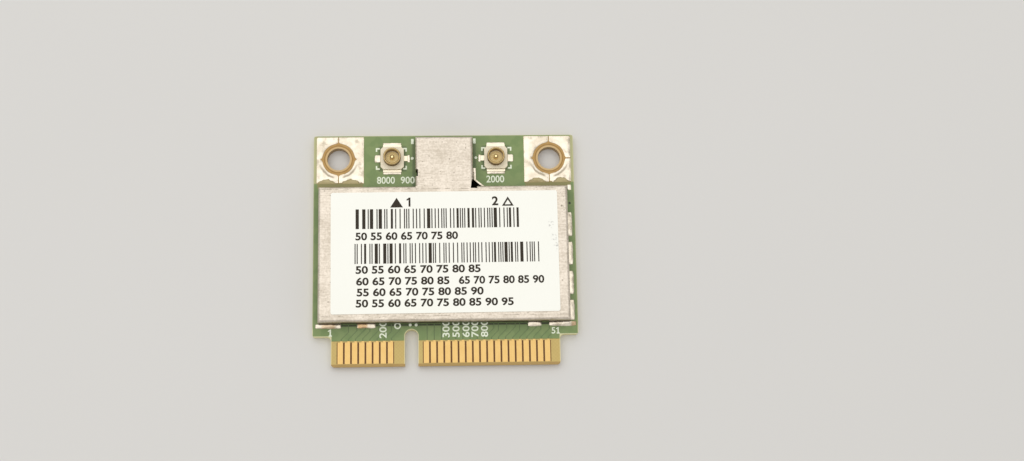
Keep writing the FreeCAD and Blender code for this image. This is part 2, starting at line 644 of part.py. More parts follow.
def build_socket_pin(label, x, tail_side):
    """The centre contact, with a tapered tip and a tail that leads out to its solder joint."""
    pin = new_body(label, x, SOCKET_Y, "board_thickness")
    tail = new_sketch(pin)
    ends = ("0", "tail_reach") if tail_side > 0 else ("-tail_reach", "0")
    rectangle(tail, *ends, "-tail_width / 2", "tail_width / 2")
    pad(pin, tail, "tail_thickness")
    profile = new_sketch(pin, plane="XZ_Plane")
    polygon(profile, [
        ("0", "0"),
        ("pin_radius", "0"),
        ("pin_radius", "pin_height - pin_tip"),
        ("pin_radius - pin_tip", "pin_height"),
        ("0", "pin_height"),
    ])
    revolve(pin, profile)
    return pin


def build_socket_base(label, x, shell, pin):
    """The insulator, moulded around the ground ring and the centre contact."""
    blank = new_body(f"{label}_blank", x, SOCKET_Y, "board_thickness", part=False)
    plan = new_sketch(blank)
    rectangle(plan, "-base_side / 2", "base_side / 2", "-base_side / 2", "base_side / 2")
    pad(blank, plan, "base_height")
    chamfer(blank, "base_chamfer", lambda edge: edge.BoundBox.ZLength > TOUCH)
    without_shell = doc.addObject("Part::Cut", f"{label}_seat")
    without_shell.Base = blank
    without_shell.Tool = shell
    base = doc.addObject("Part::Cut", label)
    base.Label = label
    base.Base = without_shell
    base.Tool = pin
    doc.recompute()
    sub_parts.append(base)


def build_socket_solder(label, x, tail_side):
    """Solder joints at the ends of both legs and of the tail, and on the spare pad opposite."""
    solder = new_body(label, x, SOCKET_Y, "board_thickness")
    for side in (-1, 1):
        section = new_sketch(solder, plane="YZ_Plane")
        near = f"{side} * leg_reach"
        far = f"{side} * (leg_reach + joint_length)"
        polygon(section, [(near, "0"), (far, "0"), (near, "joint_height")])
        pad(solder, section, "leg_width", both_ways=True)
    section = new_sketch(solder, plane="XZ_Plane")
    near = f"{tail_side} * tail_reach"
    far = f"{tail_side} * (tail_reach + joint_length)"
    polygon(section, [(near, "0"), (far, "0"), (near, "tail_thickness")])
    pad(solder, section, "joint_width", both_ways=True)
    spare = new_sketch(solder)
    inner = f"{-tail_side} * base_side / 2"
    outer = f"{-tail_side} * (tail_reach + joint_length)"
    left, right = (outer, inner) if tail_side > 0 else (inner, outer)
    rectangle(spare, left, right, "-joint_width / 2", "joint_width / 2")
    pad(solder, spare, "copper")


def build_socket(number, side):
    """An antenna socket; its centre contact's tail points at the can's neck."""
    name = f"antenna_socket_{number}"
    x = f"{side} * {SOCKET_X}"
    shell = build_socket_shell(f"{name}_ring", x)
    pin = build_socket_pin(f"{name}_pin", x, -side)
    build_socket_base(f"{name}_base", x, shell, pin)
    build_socket_solder(f"{name}_solder", x, -side)


def build_radio_chip():
    """A leadless square chip on flush terminals, with one chamfered corner."""
    chip = new_body("radio_chip", RADIO_X, RADIO_Y, "board_thickness")
    half = "radio_side / 2"
    row_start = "-terminal_pitch * (terminal_count - 1) / 2 - terminal_width / 2"
    terminal_row = (row_start, f"{row_start} + terminal_width")
    outer_rows = ((f"-{half}", f"terminal_length - {half}"), (f"{half} - terminal_length", half))
    plan = new_sketch(chip, "standoff")
    polygon(plan, [
        (f"chip_corner - {half}", f"-{half}"),
        (half, f"-{half}"),
        (half, half),
        (f"-{half}", half),
        (f"-{half}", f"chip_corner - {half}"),
    ])
    pad(chip, plan, "radio_height - standoff")
    for outer_row in outer_rows:
        along_x = new_sketch(chip)
        rectangle(along_x, *terminal_row, *outer_row)
        row_of(chip, [pad(chip, along_x, "standoff")], "X_Axis", "terminal_pitch", "terminal_count")
        along_y = new_sketch(chip)
        rectangle(along_y, *outer_row, *terminal_row)
        row_of(chip, [pad(chip, along_y, "standoff")], "Y_Axis", "terminal_pitch", "terminal_count")


def build_crystal():
    """A ceramic tray closed by a metal lid."""
    crystal = new_body("crystal", f"{CAN_LEFT} + crystal_inset", RADIO_Y, "board_thickness")
    tray = new_sketch(crystal)
    rectangle(tray, "-crystal_width / 2", "crystal_width / 2", "-crystal_length / 2", "crystal_length / 2")
    pad(crystal, tray, "crystal_base")
    lid = new_sketch(crystal, "crystal_base")
    right = "(crystal_width / 2 - crystal_rim)"
    rear = "(crystal_length / 2 - crystal_rim)"
    rectangle(lid, f"-{right}", right, f"-{rear}", rear)
    pad(crystal, lid, "crystal_lid")


def build_leaded_chip(label, x, y, width, length, pitch, count):
    """A moulded chip with a row of bent leads on each long side."""
    chip = new_body(label, x, y, "board_thickness")
    plan = new_sketch(chip, "standoff")
    rectangle(plan, f"-{width} / 2", f"{width} / 2", f"-{length} / 2", f"{length} / 2")
    pad(chip, plan, "memory_height - standoff")
    shoulder = "memory_height / 2"
    for side in (-1, 1):
        def place(reach, height):
            return f"{side} * ({width} / 2 + {reach})", height
        lead = new_sketch(chip, f"{pitch} * ({count} - 1) / 2", "XZ_Plane")
        knee = "(lead_reach - lead_foot)"
        polygon(lead, [
            place("0", shoulder),
            place(f"{knee} - lead_sheet", shoulder),
            place(f"{knee} - lead_sheet", "0"),
            place("lead_reach", "0"),
            place("lead_reach", "lead_sheet"),
            place(knee, "lead_sheet"),
            place(knee, f"{shoulder} + lead_sheet"),
            place("0", f"{shoulder} + lead_sheet"),
        ])
        first = pad(chip, lead, "lead_width", both_ways=True)
        row_of(chip, [first], "Y_Axis", pitch, count)


def build_block(label, x, y, side, height, corner):
    """A square block whose upright corners are chamfered."""
    block = new_body(label, x, y, "board_thickness")
    plan = new_sketch(block)
    rectangle(plan, f"-{side} / 2", f"{side} / 2", f"-{side} / 2", f"{side} / 2")
    pad(block, plan, height)
    chamfer(block, corner, lambda edge: edge.BoundBox.ZLength > TOUCH)


def build_radio_filters():
    """A ceramic filter for each antenna, side by side where the can's neck begins."""
    middle = (f"{CAN_X} + filter_right", f"{CAN_REAR} - filter_inset")
    filters = new_body("radio_filters", *middle, "board_thickness")
    plan = new_sketch(filters)
    for side in (-1, 1):
        left = f"{side} * filter_spacing / 2 - filter_width / 2"
        rectangle(plan, left, f"{left} + filter_width", "-filter_length / 2", "filter_length / 2")
    pad(filters, plan, "filter_height")
    fillet(filters, "filter_round", level_at("filter_height"))


def build_passives(label, x, rows, height, count):
    """Rows of chip capacitors or resistors: a body between two metal ends that stand proud."""
    passives = new_body(label, x, z="board_thickness")
    for middle in rows:
        core = new_sketch(passives)
        half_width = "(passive_width / 2 - passive_step)"
        rear = f"{middle} + passive_length / 2"
        front = f"{middle} - passive_length / 2"
        rectangle(core, f"-{half_width}", half_width, f"{front} + passive_end", f"{rear} - passive_end")
        between = pad(passives, core, f"{height} - passive_step")
        ends = new_sketch(passives)
        for near, far in ((front, f"{front} + passive_end"), (f"{rear} - passive_end", rear)):
            rectangle(ends, "-passive_width / 2", "passive_width / 2", near, far)
        row_of(passives, [between, pad(passives, ends, height)], "X_Axis", "passive_pitch", count)


def build_circuit():
    """What the shield can covers."""
    build_radio_chip()
    build_crystal()
    build_leaded_chip("memory_chip", MEMORY_X, MEMORY_Y, "memory_width", "memory_length", "memory_pitch",
                      "memory_lead_count")
    build_leaded_chip("regulator_chip", f"{CAN_X} + regulator_right", f"{CAN_Y} - regulator_front",
                      "regulator_width", "regulator_length", "regulator_pitch", "regulator_lead_count")
    build_block("power_inductor", f"{CAN_X} + inductor_right", f"{CAN_Y} + inductor_rear", "inductor_side",
                "inductor_height", "inductor_chamfer")
    build_block("antenna_switch", "0", f"{NECK_REAR} - switch_inset", "switch_side", "switch_height",
                "chip_corner")
    build_radio_filters()
    radio_edge = "(radio_side / 2 + row_clearance)"
    build_passives("chip_capacitors", f"{RADIO_X} - passive_pitch * (capacitor_count - 1) / 2",
                   [f"{RADIO_Y} + {radio_edge}", f"{RADIO_Y} - {radio_edge}"], "capacitor_height",
                   "capacitor_count")
    first_row = f"{MEMORY_Y} + memory_length / 2 + row_clearance"
    build_passives("chip_resistors", f"{MEMORY_X} - passive_pitch * (resistor_count - 1) / 2",
                   [first_row, f"{first_row} + passive_length * 2"], "resistor_height", "resistor_count")


build_board()
build_edge_contacts("edge_contacts_top", "board_thickness - copper", "0")
build_edge_contacts("edge_contacts_bottom", "0", "underside_shift")
for place, side in (("left", -1), ("right", 1)):
    build_mounting_pad(f"mounting_pad_{place}", side)
    build_pad_solder(f"pad_solder_{place}", side)
build_shield_can()
build_shield_solder()
build_label()
build_socket(1, -1)
build_socket(2, 1)
build_circuit()

doc.recompute()
for item in doc.Objects:
    if {"Invalid", "Error"} & set(item.State):
        raise RuntimeError(f"{item.Name} failed: {item.State}")
for piece in sub_parts:
    if piece.Shape.isNull() or not piece.Shape.isValid():
        raise RuntimeError(f"{piece.Label} has no valid shape")

os.makedirs("parts", exist_ok=True)
for piece in sub_parts:
    piece.Shape.exportStep(f"parts/{piece.Label}.step")
    print(piece.Label, len(piece.Shape.Solids), "solids,", round(piece.Shape.Volume, 3), "mm3")
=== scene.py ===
# %% [markdown]
# A half-size radio card: a small green circuit board with a keyed row of gold contacts, two plated
# mounting holes, two antenna sockets and a folded metal can under a paper label. The CAD model is
# the frame, so every piece below sits where that frame says, and the script adds the looks.

# %% Load the frame
import math
import random

import bmesh
import bpy
from mathutils import Matrix, Vector, noise


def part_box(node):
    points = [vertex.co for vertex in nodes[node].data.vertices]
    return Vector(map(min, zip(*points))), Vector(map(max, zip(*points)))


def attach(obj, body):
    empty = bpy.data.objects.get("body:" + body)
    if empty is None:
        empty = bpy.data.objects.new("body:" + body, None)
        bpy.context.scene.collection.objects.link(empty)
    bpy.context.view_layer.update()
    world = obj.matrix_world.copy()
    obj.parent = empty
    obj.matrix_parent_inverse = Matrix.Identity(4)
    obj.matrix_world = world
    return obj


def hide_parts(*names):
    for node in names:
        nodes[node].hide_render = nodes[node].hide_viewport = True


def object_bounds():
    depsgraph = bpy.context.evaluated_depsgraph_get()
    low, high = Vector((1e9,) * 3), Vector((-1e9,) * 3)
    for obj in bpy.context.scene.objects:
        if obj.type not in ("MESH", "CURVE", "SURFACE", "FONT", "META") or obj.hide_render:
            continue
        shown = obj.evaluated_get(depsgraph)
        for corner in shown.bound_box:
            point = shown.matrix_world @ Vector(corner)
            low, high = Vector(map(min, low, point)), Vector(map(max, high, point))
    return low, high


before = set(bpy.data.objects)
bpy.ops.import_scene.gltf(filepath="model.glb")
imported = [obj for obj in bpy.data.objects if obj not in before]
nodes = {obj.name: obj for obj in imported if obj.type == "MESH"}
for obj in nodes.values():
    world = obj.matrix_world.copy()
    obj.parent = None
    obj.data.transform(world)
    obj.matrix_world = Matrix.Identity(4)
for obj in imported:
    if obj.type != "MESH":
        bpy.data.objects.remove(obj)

cad_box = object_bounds()
MM = 0.001
box_in_mm = [[round(c / MM, 2) for c in corner] for corner in cad_box]
print("frame:", len(nodes), "nodes, box in mm", box_in_mm)

# %% [markdown]
# The camera comes first, because every later choice is judged through it. A real camera that looks
# almost straight down still leans a little, so its three angles are all small but none is zero.
# The lens is a normal one: a wide lens at a shorter distance would spread the front of the card.

# %% Camera
CAMERA_PLACE = (-0.32676, -33.64806, 165.15297)
CAMERA_TURN = (12.29732, -2.54040, -1.13437)
camera = bpy.data.objects.new("camera", bpy.data.cameras.new("camera"))
bpy.context.collection.objects.link(camera)
camera.location = Vector(CAMERA_PLACE) * MM
camera.rotation_euler = [math.radians(angle) for angle in CAMERA_TURN]
camera.data.sensor_width = 36.0
camera.data.lens = 51.77
camera.data.clip_start = 0.01
bpy.context.scene.camera = camera
bpy.context.scene.view_settings.view_transform = "Standard"
print("camera:", round(camera.location.length / MM), "mm from the card")

# %% [markdown]
# A card like this is photographed under a broad soft light. One large lamp above and behind the
# card shines on the metal, and an even surrounding light fills the shadows. Together they light a
# surface that faces up so that its colour renders about as it is written.

# %% Floor and light
FLOOR_COLOUR = (0.70, 0.69, 0.67, 1.0)
FLOOR_DROP = 0.02
SURROUND = 0.66
KEY_PLACE = (-70.0, 150.0, 450.0)
KEY_SIDE = 700.0
KEY_POWER = 1.36


def add_floor():
    """A wide plate, just under the card."""
    bm = bmesh.new()
    bmesh.ops.create_grid(bm, x_segments=1, y_segments=1, size=3.0)
    mesh = bpy.data.meshes.new("floor")
    bm.to_mesh(mesh)
    bm.free()
    mesh.transform(Matrix.Translation((0, 0, -FLOOR_DROP * MM)))
    floor = bpy.data.objects.new("floor", mesh)
    bpy.context.collection.objects.link(floor)
    return floor


def add_lamp(place, side, power):
    """A square soft lamp that faces the card."""
    data = bpy.data.lights.new("key_lamp", "AREA")
    data.size = side * MM
    data.energy = power
    lamp = bpy.data.objects.new("key_lamp", data)
    lamp.location = Vector(place) * MM
    lamp.rotation_euler = (-lamp.location).to_track_quat("-Z", "Y").to_euler()
    bpy.context.collection.objects.link(lamp)


floor = add_floor()
add_lamp(KEY_PLACE, KEY_SIDE, KEY_POWER)
world = bpy.data.worlds.new("studio")
world.use_nodes = True
world.node_tree.nodes["Background"].inputs["Color"].default_value = (1.0, 0.985, 0.96, 1.0)
world.node_tree.nodes["Background"].inputs["Strength"].default_value = SURROUND
bpy.context.scene.world = world
print("light: one lamp over a surround of", SURROUND)

# %% [markdown]
# Materials are sums of simple patterns, so the node tree is written as arithmetic. The first class
# wraps one number that changes over a surface: adding or multiplying it adds a Math node. The second
# class is a material under construction. It gives the place of a point on the card in millimetres.

# %% Shader arithmetic
class Number:
    """A number that changes over a surface; arithmetic on it adds Math nodes."""

    def __init__(self, finish, socket):
        self.finish = finish
        self.socket = socket

    def math(self, operation, *values):
        inputs = dict(enumerate(values))
        node = self.finish.node("ShaderNodeMath", {"operation": operation}, inputs)
        return Number(self.finish, node.outputs[0])

    def __add__(self, other):
        return self.math("ADD", self, other)

    def __radd__(self, other):
        return self.math("ADD", other, self)

    def __sub__(self, other):
        return self.math("SUBTRACT", self, other)

    def __rsub__(self, other):
        return self.math("SUBTRACT", other, self)

    def __mul__(self, other):
        return self.math("MULTIPLY", self, other)

    def __rmul__(self, other):
        return self.math("MULTIPLY", other, self)

    def __truediv__(self, other):
        return self.math("DIVIDE", self, other)

    def __abs__(self):
        return self.math("ABSOLUTE", self)

    def sine(self):
        return self.math("SINE", self)

    def fraction(self):
        return self.math("FRACT", self)

    def most(self, other):
        return self.math("MAXIMUM", self, other)

    def least(self, other):
        return self.math("MINIMUM", self, other)

    def reach(self, other):
        """The length of a step whose two sides are numbers."""
        return self.math("SQRT", self * self + other * other)

    def rise(self, low, high):
        """Goes smoothly from 0 at low to 1 at high."""
        inputs = {"Value": self, "From Min": low, "From Max": high}
        node = self.finish.node("ShaderNodeMapRange", {"interpolation_type": "SMOOTHSTEP"}, inputs)
        return Number(self.finish, node.outputs["Result"])

    def within(self, low, high, soft):
        """1 between two bounds and 0 outside them."""
        return self.rise(low - soft, low + soft) * (1 - self.rise(high - soft, high + soft))


class Finish:
    """A material under construction: one shader and the nodes that feed it."""

    def __init__(self, name, metallic=0.0):
        self.material = bpy.data.materials.new(name)
        self.material.use_nodes = True
        self.tree = self.material.node_tree
        self.tree.nodes.clear()
        self.shader = self.node("ShaderNodeBsdfPrincipled", inputs={"Metallic": metallic})
        self.node("ShaderNodeOutputMaterial", inputs={"Surface": self.shader.outputs["BSDF"]})
        metres = self.node("ShaderNodeTexCoord").outputs["Object"]
        scaled = self.node("ShaderNodeVectorMath", {"operation": "SCALE"},
                           {"Vector": metres, "Scale": 1 / MM})
        self.place = scaled.outputs["Vector"]
        split = self.node("ShaderNodeSeparateXYZ", inputs={"Vector": self.place})
        self.x, self.y, self.z = (Number(self, socket) for socket in split.outputs)

    def node(self, kind, settings=None, inputs=None):
        """Adds a node, sets what it is, and gives its sockets values or links."""
        node = self.tree.nodes.new(kind)
        for name, value in (settings or {}).items():
            setattr(node, name, value)
        for key, value in (inputs or {}).items():
            self.feed(node.inputs[key], value)
        return node

    def feed(self, socket, value):
        value = value.socket if isinstance(value, Number) else value
        if isinstance(value, bpy.types.NodeSocket):
            self.tree.links.new(value, socket)
        else:
            socket.default_value = value

    def grain(self, scale, detail=2.0, stretch=(1.0, 1.0, 1.0)):
        """Soft noise with so many features to a millimetre, about 0.5 on average."""
        moved = {0: self.place, 1: stretch}
        vector = self.node("ShaderNodeVectorMath", {"operation": "MULTIPLY"}, moved).outputs["Vector"]
        inputs = {"Vector": vector, "Scale": scale, "Detail": detail}
        return Number(self, self.node("ShaderNodeTexNoise", inputs=inputs).outputs[0])

    def blend(self, factor, first, second):
        """The first colour where the factor is 0, the second where it is 1."""
        node = self.node("ShaderNodeMix", {"data_type": "RGBA"}, {0: factor, 6: first, 7: second})
        return node.outputs[2]

    def relief(self, height, depth):
        """Raises the surface by a height of 0 to 1, times a depth in millimetres."""
        bump = self.node("ShaderNodeBump", inputs={"Height": height, "Distance": depth * MM})
        self.feed(self.shader.inputs["Normal"], bump.outputs["Normal"])

    def done(self, colour, roughness, metallic=None):
        """Feeds the shader and gives the finished material."""
        self.feed(self.shader.inputs["Base Color"], colour)
        self.feed(self.shader.inputs["Roughness"], roughness)
        if metallic is not None:
            self.feed(self.shader.inputs["Metallic"], metallic)
        print("finish:", self.material.name, "with", len(self.tree.nodes), "nodes")
        return self.material


def screen(red, green, blue):
    """A colour as a screen shows it, from 0 to 255, turned into light."""
    def light(value):
        share = value / 255
        return share / 12.92 if share <= 0.04045 else ((share + 0.055) / 1.055) ** 2.4
    return light(red), light(green), light(blue), 1.0


def wear(node_names, material):
    """Gives CAD nodes a finish."""
    for name in node_names:
        slots = nodes[name].data.materials
        slots.clear()
        slots.append(material)


# %% [markdown]
# The floor is a plain matt board. Even a plain surface isn't perfectly even, so a little noise in
# its colour keeps the eye from reading it as a painted backdrop.

# %% Floor finish
FLOOR_SHADE = tuple(0.97 * channel for channel in FLOOR_COLOUR[:3]) + (1.0,)
plain = Finish("pale_floor")
floor.data.materials.append(plain.done(plain.blend(plain.grain(0.02), FLOOR_COLOUR, FLOOR_SHADE), 0.8))

# %% [markdown]
# The board is glass cloth in resin, under a green solder mask. The mask stops short of the contact
# edge, where the tan laminate shows its weave, and the sawn sides show the laminate in layers. All
# three share one solid, so one finish picks between them by place. The same way, the laminate is
# darker in the narrow gaps between contacts, and the board's rim is pale, partly as cut laminate and
# partly as a painted highlight. The mask is darkened by flux and painted shade beside the can, and
# painted near black as painted shadow under it.

# %% Board finish
MASK_END = -10.47
BOARD_TOP = 1.0
SKIN = 0.05
WEAVE_PITCH = 0.42
BOARD_SIDE, BOARD_REAR, TAB_SIDE, STEP_EDGE = 14.925, 13.325, 12.85, -9.955
KEY_X, KEY_END, KEY_HALF = -3.85, -9.975, 0.75
CONTACT_PITCH, FIRST_CONTACT = 0.8, -11.8
CONTACT_GROUPS = ((-12.2, -5.8), (-2.6, 11.8))
CONTACT_FRONT, CONTACT_REAR = -13.025, -10.6
BEVEL_START = -13.03
SOCKET_X, SOCKET_Y = 5.95, 10.595
BURN_X, BURN_Y = 14.35, 5.18
UPPER = (0.9, 0.92)
PAD_STRIP, PAD_STRIP_SPAN = (7.1, 7.9), (9.3, 14.5)
OUTER_STRIP, OUTER_STRIP_START = (7.7, 13.4), (14.5, 14.62)
FRONT_SHADE, FRONT_SHADE_SPAN = (-8.82, -8.60), (-14.2, 13.9)
REAR_FLUX_AND_SHADE, REAR_FLUX_AND_SHADE_SPAN = (6.90, 7.12), (3.3, 14.1)
NECK_SHADE, NECK_SHADE_SPAN = (3.3, 3.65), (7.2, 12.8)
SOCKET_FLUX_AND_SHADE_X, SOCKET_FLUX_AND_SHADE_Y = (1.45, 1.75), (1.35, 1.65)
THIN_FLUX_AND_SHADE = 0.5
CAN_INSIDE = ((-14.0, 13.8), (-8.3, 6.75))
NECK_INSIDE = ((-3.15, 3.15), (6.5, 12.6))
TORN_CORNER = ((2.9, 4.6), (6.4, 8.1))
TEAR_X, TEAR_Y, TEAR_ACROSS, TEAR_ALONG = 3.47, 8.05, 0.636, 0.771
PALE_RIM = (-9.4, -8.6)


def rim_of(board):
    """1 along the board's outline, its steps and its key notch."""
    outer = (BOARD_SIDE - abs(board.x)).least(BOARD_REAR - board.y)
    step = (TAB_SIDE - abs(board.x)).most(board.y - STEP_EDGE)
    notch = (board.x - KEY_X).reach((board.y - KEY_END).most(0.0)) - KEY_HALF
    return 1 - outer.least(step).least(notch).rise(0.02, 0.11)


def etched_gaps(board):
    """1 in the narrow gaps between contacts."""
    turns = (board.x - FIRST_CONTACT) / CONTACT_PITCH + 0.5
    aside = abs(turns.fraction() - 0.5) * CONTACT_PITCH
    left, right = (board.x.within(*group, 0.02) for group in CONTACT_GROUPS)
    return aside.rise(0.25, 0.29) * (left + right) * board.y.within(CONTACT_FRONT, CONTACT_REAR, 0.03)


def flux_and_shade(board):
    """1 where flux and painted shade darken the mask beside the can's walls, and less beside its neck
    and the sockets.
    """
    front = board.y.within(*FRONT_SHADE, 0.05) * board.x.within(*FRONT_SHADE_SPAN, 0.1)
    rear = board.y.within(*REAR_FLUX_AND_SHADE, 0.04) * abs(board.x).within(*REAR_FLUX_AND_SHADE_SPAN, 0.1)
    neck = abs(board.x).within(*NECK_SHADE, 0.1) * board.y.within(*NECK_SHADE_SPAN, 0.2)
    aside, along = abs(abs(board.x) - SOCKET_X), abs(board.y - SOCKET_Y)
    sockets = (1 - aside.rise(*SOCKET_FLUX_AND_SHADE_X)) * (1 - along.rise(*SOCKET_FLUX_AND_SHADE_Y))
    return front.most(rear).most(neck.most(sockets) * THIN_FLUX_AND_SHADE)


def covered_by_can(board):
    """1 on the laminate that the can shades: inside it and at the torn corner of its neck."""
    body, neck, torn = (board.x.within(*across, 0.05) * board.y.within(*along, 0.05)
                        for across, along in (CAN_INSIDE, NECK_INSIDE, TORN_CORNER))
    beyond = (board.x - TEAR_X) * TEAR_ACROSS + (board.y - TEAR_Y) * TEAR_ALONG
    return body.most(neck).most(torn * (1 - beyond.rise(-0.05, 0.05)))


def board_finish():
    """Mask, bare laminate or sawn side, picked by place."""
    board = Finish("masked_laminate")
    cloud = board.grain(0.45, 4.0)
    speck = board.grain(9.0, 1.0)
    pour = board.grain(0.8, 1.0).rise(0.44, 0.56)
    mask = board.blend(pour * 0.35 + cloud * 0.5, screen(108, 132, 74), screen(132, 150, 92))
    mask = board.blend(speck.rise(0.55, 0.8) * 0.25, mask, screen(92, 114, 66))
    upper = board.z.rise(*UPPER)
    beside_pads = board.y.within(*PAD_STRIP, 0.05) * abs(board.x).within(*PAD_STRIP_SPAN, 0.1)
    mask = board.blend(beside_pads * upper * 0.8, mask, screen(140, 128, 76))
    outside_pads = board.y.within(*OUTER_STRIP, 0.1) * abs(board.x).rise(*OUTER_STRIP_START)
    mask = board.blend(outside_pads * upper * 0.7, mask, screen(190, 184, 136))
    # Painted shadow in front of the can, flux and painted shade behind it and round the sockets,
    # painted shade beside the neck.
    mask = board.blend(flux_and_shade(board) * upper * (0.55 + cloud * 0.6), mask, screen(36, 40, 20))
    burn = 1 - (board.x - BURN_X).reach(board.y - BURN_Y).rise(0.09, 0.18)
    mask = board.blend(burn * upper, mask, screen(34, 32, 20))
    # Painted shadow: under the can and at the torn corner of its neck the laminate is painted near
    # black, and made a black metal there so that it reflects nothing.
    painted_can_shadow = covered_by_can(board) * upper
    mask = board.blend(painted_can_shadow, mask, screen(7, 6, 4))
    turns = 2 * math.pi / WEAVE_PITCH
    weave = (board.x * turns).sine() * (board.y * turns).sine() * 0.5 + 0.5
    bare = board.blend(weave * 0.2 + cloud * 0.8, screen(184, 156, 86), screen(214, 190, 118))
    bare = board.blend(etched_gaps(board) * upper, bare, screen(98, 58, 4))
    layers = board.grain(1.5, 3.0, (0.6, 0.6, 9.0))
    sawn = board.blend(layers, screen(212, 202, 150), screen(240, 232, 190))
    ground = board.blend(layers, screen(176, 144, 86), screen(202, 170, 110))
    sawn = board.blend(1 - board.y.rise(BEVEL_START - 0.02, BEVEL_START), sawn, ground)
    side = board.z.within(SKIN, BOARD_TOP - SKIN, 0.005)
    uncovered = 1 - (board.y + cloud * 0.06).rise(MASK_END, MASK_END + 0.06)
    face = board.blend(uncovered, mask, bare)
    # The pale rim is partly the cut laminate and partly a painted highlight, stronger along the front
    # edge.
    front = 1 - board.y.rise(*PALE_RIM)
    face = board.blend(rim_of(board) * (0.35 + front * 0.45), face, screen(232, 224, 180))
    colour = board.blend(side, face, sawn)
    roughness = 0.34 + cloud * 0.1 + uncovered * 0.15 + side * 0.3
    board.relief(board.grain(5.0, 2.0) * 0.4 + weave * uncovered * 0.4, 0.012)
    return board.done(colour, roughness, painted_can_shadow)  # a black metal reflects nothing, as under a can


wear(["circuit_board"], board_finish())

# %% [markdown]
# Gold on the contacts is a thin plating over nickel, so it is satin and carries fine wiping marks
# along the way that the card slides in. Noise that is drawn out along that way gives the marks.

# %% Contact finish
def contact_finish():
    gold = Finish("gold_plating", 1.0)
    wiped = gold.grain(2.4, 4.0, (4.0, 0.35, 1.0))
    cloud = gold.grain(1.1, 2.0)
    colour = gold.blend(wiped * 0.6 + cloud * 0.4, screen(201, 159, 92), screen(229, 198, 134))
    gold.relief(wiped, 0.004)
    return gold.done(colour, 0.34 + wiped * 0.16)


gold_plating = contact_finish()
wear(["edge_contacts_top", "edge_contacts_bottom"], gold_plating)

# %% [markdown]
# The mounting pads are plated too, but here flux and heat have browned the gold. It shows as a ring
# around each hole and as a cross between four quarters of solder. Screw heads have rubbed the lip of
# the hole pale, a burnt line runs round it, and the gold is darker out at the edge.

# %% Mounting pad finish
HOLE_X, HOLE_Y = 12.1, 10.575
LIP_END = (1.44, 1.54)
BURNT_LINE = (1.55, 1.62)
PAD_EDGE = (1.95, 2.3)


def pad_finish():
    pad = Finish("browned_plating", 1.0)
    away = (abs(pad.x) - HOLE_X).reach(pad.y - HOLE_Y)
    cloud = pad.grain(2.2, 3.0)
    browned = pad.blend(cloud, screen(146, 115, 70), screen(177, 146, 97))
    strayed = away + (cloud - 0.5) * 0.12
    colour = pad.blend(1 - strayed.rise(*LIP_END), browned, screen(182, 157, 116))
    colour = pad.blend(strayed.within(*BURNT_LINE, 0.05) * 0.7, colour, screen(112, 80, 42))
    outer = away.rise(*PAD_EDGE) * pad.z.rise(0.4, 0.6)
    colour = pad.blend(outer * 0.8, colour, screen(122, 101, 53))
    pad.relief(cloud, 0.01)
    return pad.done(colour, 0.36 + cloud * 0.14)


wear(["mounting_pad_left", "mounting_pad_right"], pad_finish())

# %% [markdown]
# Solder freezes bright, with shallow waves and duller patches where flux has burnt on. On the
# mounting pads the groove that runs round each ring is painted grey as painted shade, and two low
# olive hills rise on the side towards the can, partly a film of flux and partly a painted reflection
# of darker surroundings, with a darker painted line along their crest. The heat of the iron has
# browned some of the beads at the can's front feet. Each of these is a shape written as arithmetic,
# and its edge is roughened with noise.

# %% Solder finish
PADS_FRONT, PADS_INNER, FEET_END = (7.5, 7.6), (9.0, 9.2), (-8.5, -8.3)
PAINTED_GROOVE_SHADE = (2.06, 2.30)
HILL_FOOT, HILL_RISE, HILL_PLACE, HILL_HALF = 7.73, 0.46, 1.40, 1.02
BROWNED_FEET = ((-13.9, -12.4, 0.5), (-9.9, -8.8, 0.8), (14.15, 14.9, 0.7))


def solder_finish():
    solder = Finish("bright_solder", 1.0)
    wave = solder.grain(1.3, 2.0)
    cloud = solder.grain(0.9, 3.0)
    burnt = solder.grain(1.2, 3.0).rise(0.54, 0.70)
    tin = solder.blend(cloud.rise(0.3, 0.7), screen(206, 195, 175), screen(236, 226, 208))
    tin = solder.blend(burnt * 0.6, tin, screen(156, 145, 126))
    aside = abs(abs(solder.x) - HOLE_X)
    beyond = solder.y - HOLE_Y
    on_pads = solder.y.rise(*PADS_FRONT) * abs(solder.x).rise(*PADS_INNER)
    # Painted shade: the groove round each ring is painted grey.
    groove = (aside.reach(beyond) + (wave - 0.5) * 0.3).within(*PAINTED_GROOVE_SHADE, 0.1)
    groove = groove * (1 - beyond.rise(-1.5, -0.1)) * aside.rise(0.3, 0.7) * on_pads
    tin = solder.blend(groove * 0.75, tin, screen(120, 110, 92))
    # The olive hills are partly a film of flux and partly a painted reflection of darker surroundings,
    # with a darker painted line along their crest.
    from_top = (aside - HILL_PLACE) / HILL_HALF
    hill = (1 - from_top * from_top).most(0.0) * HILL_RISE + HILL_FOOT
    above = solder.y + wave * 0.3 + solder.grain(3.5, 3.0) * 0.3 - 0.3 - hill
    flux_film_and_reflection = on_pads * (1 - above.rise(-0.04, 0.05))
    crest = on_pads * above.within(-0.07, 0.03, 0.04)
    colour = solder.blend(flux_film_and_reflection * 0.85, tin, screen(164, 151, 106))
    colour = solder.blend(crest * 0.6, colour, screen(114, 103, 70))
    near_feet = 1 - solder.y.rise(*FEET_END)
    for left, right, share in BROWNED_FEET:
        browned = near_feet * solder.x.within(left, right, 0.2) * share
        colour = solder.blend(browned, colour, screen(184, 147, 98))
    solder.relief(wave * 0.85 + solder.grain(4.0, 2.0) * 0.15, 0.05)
    return solder.done(colour, 0.2 + cloud * 0.16 + flux_film_and_reflection * 0.2)


bright_solder = solder_finish()

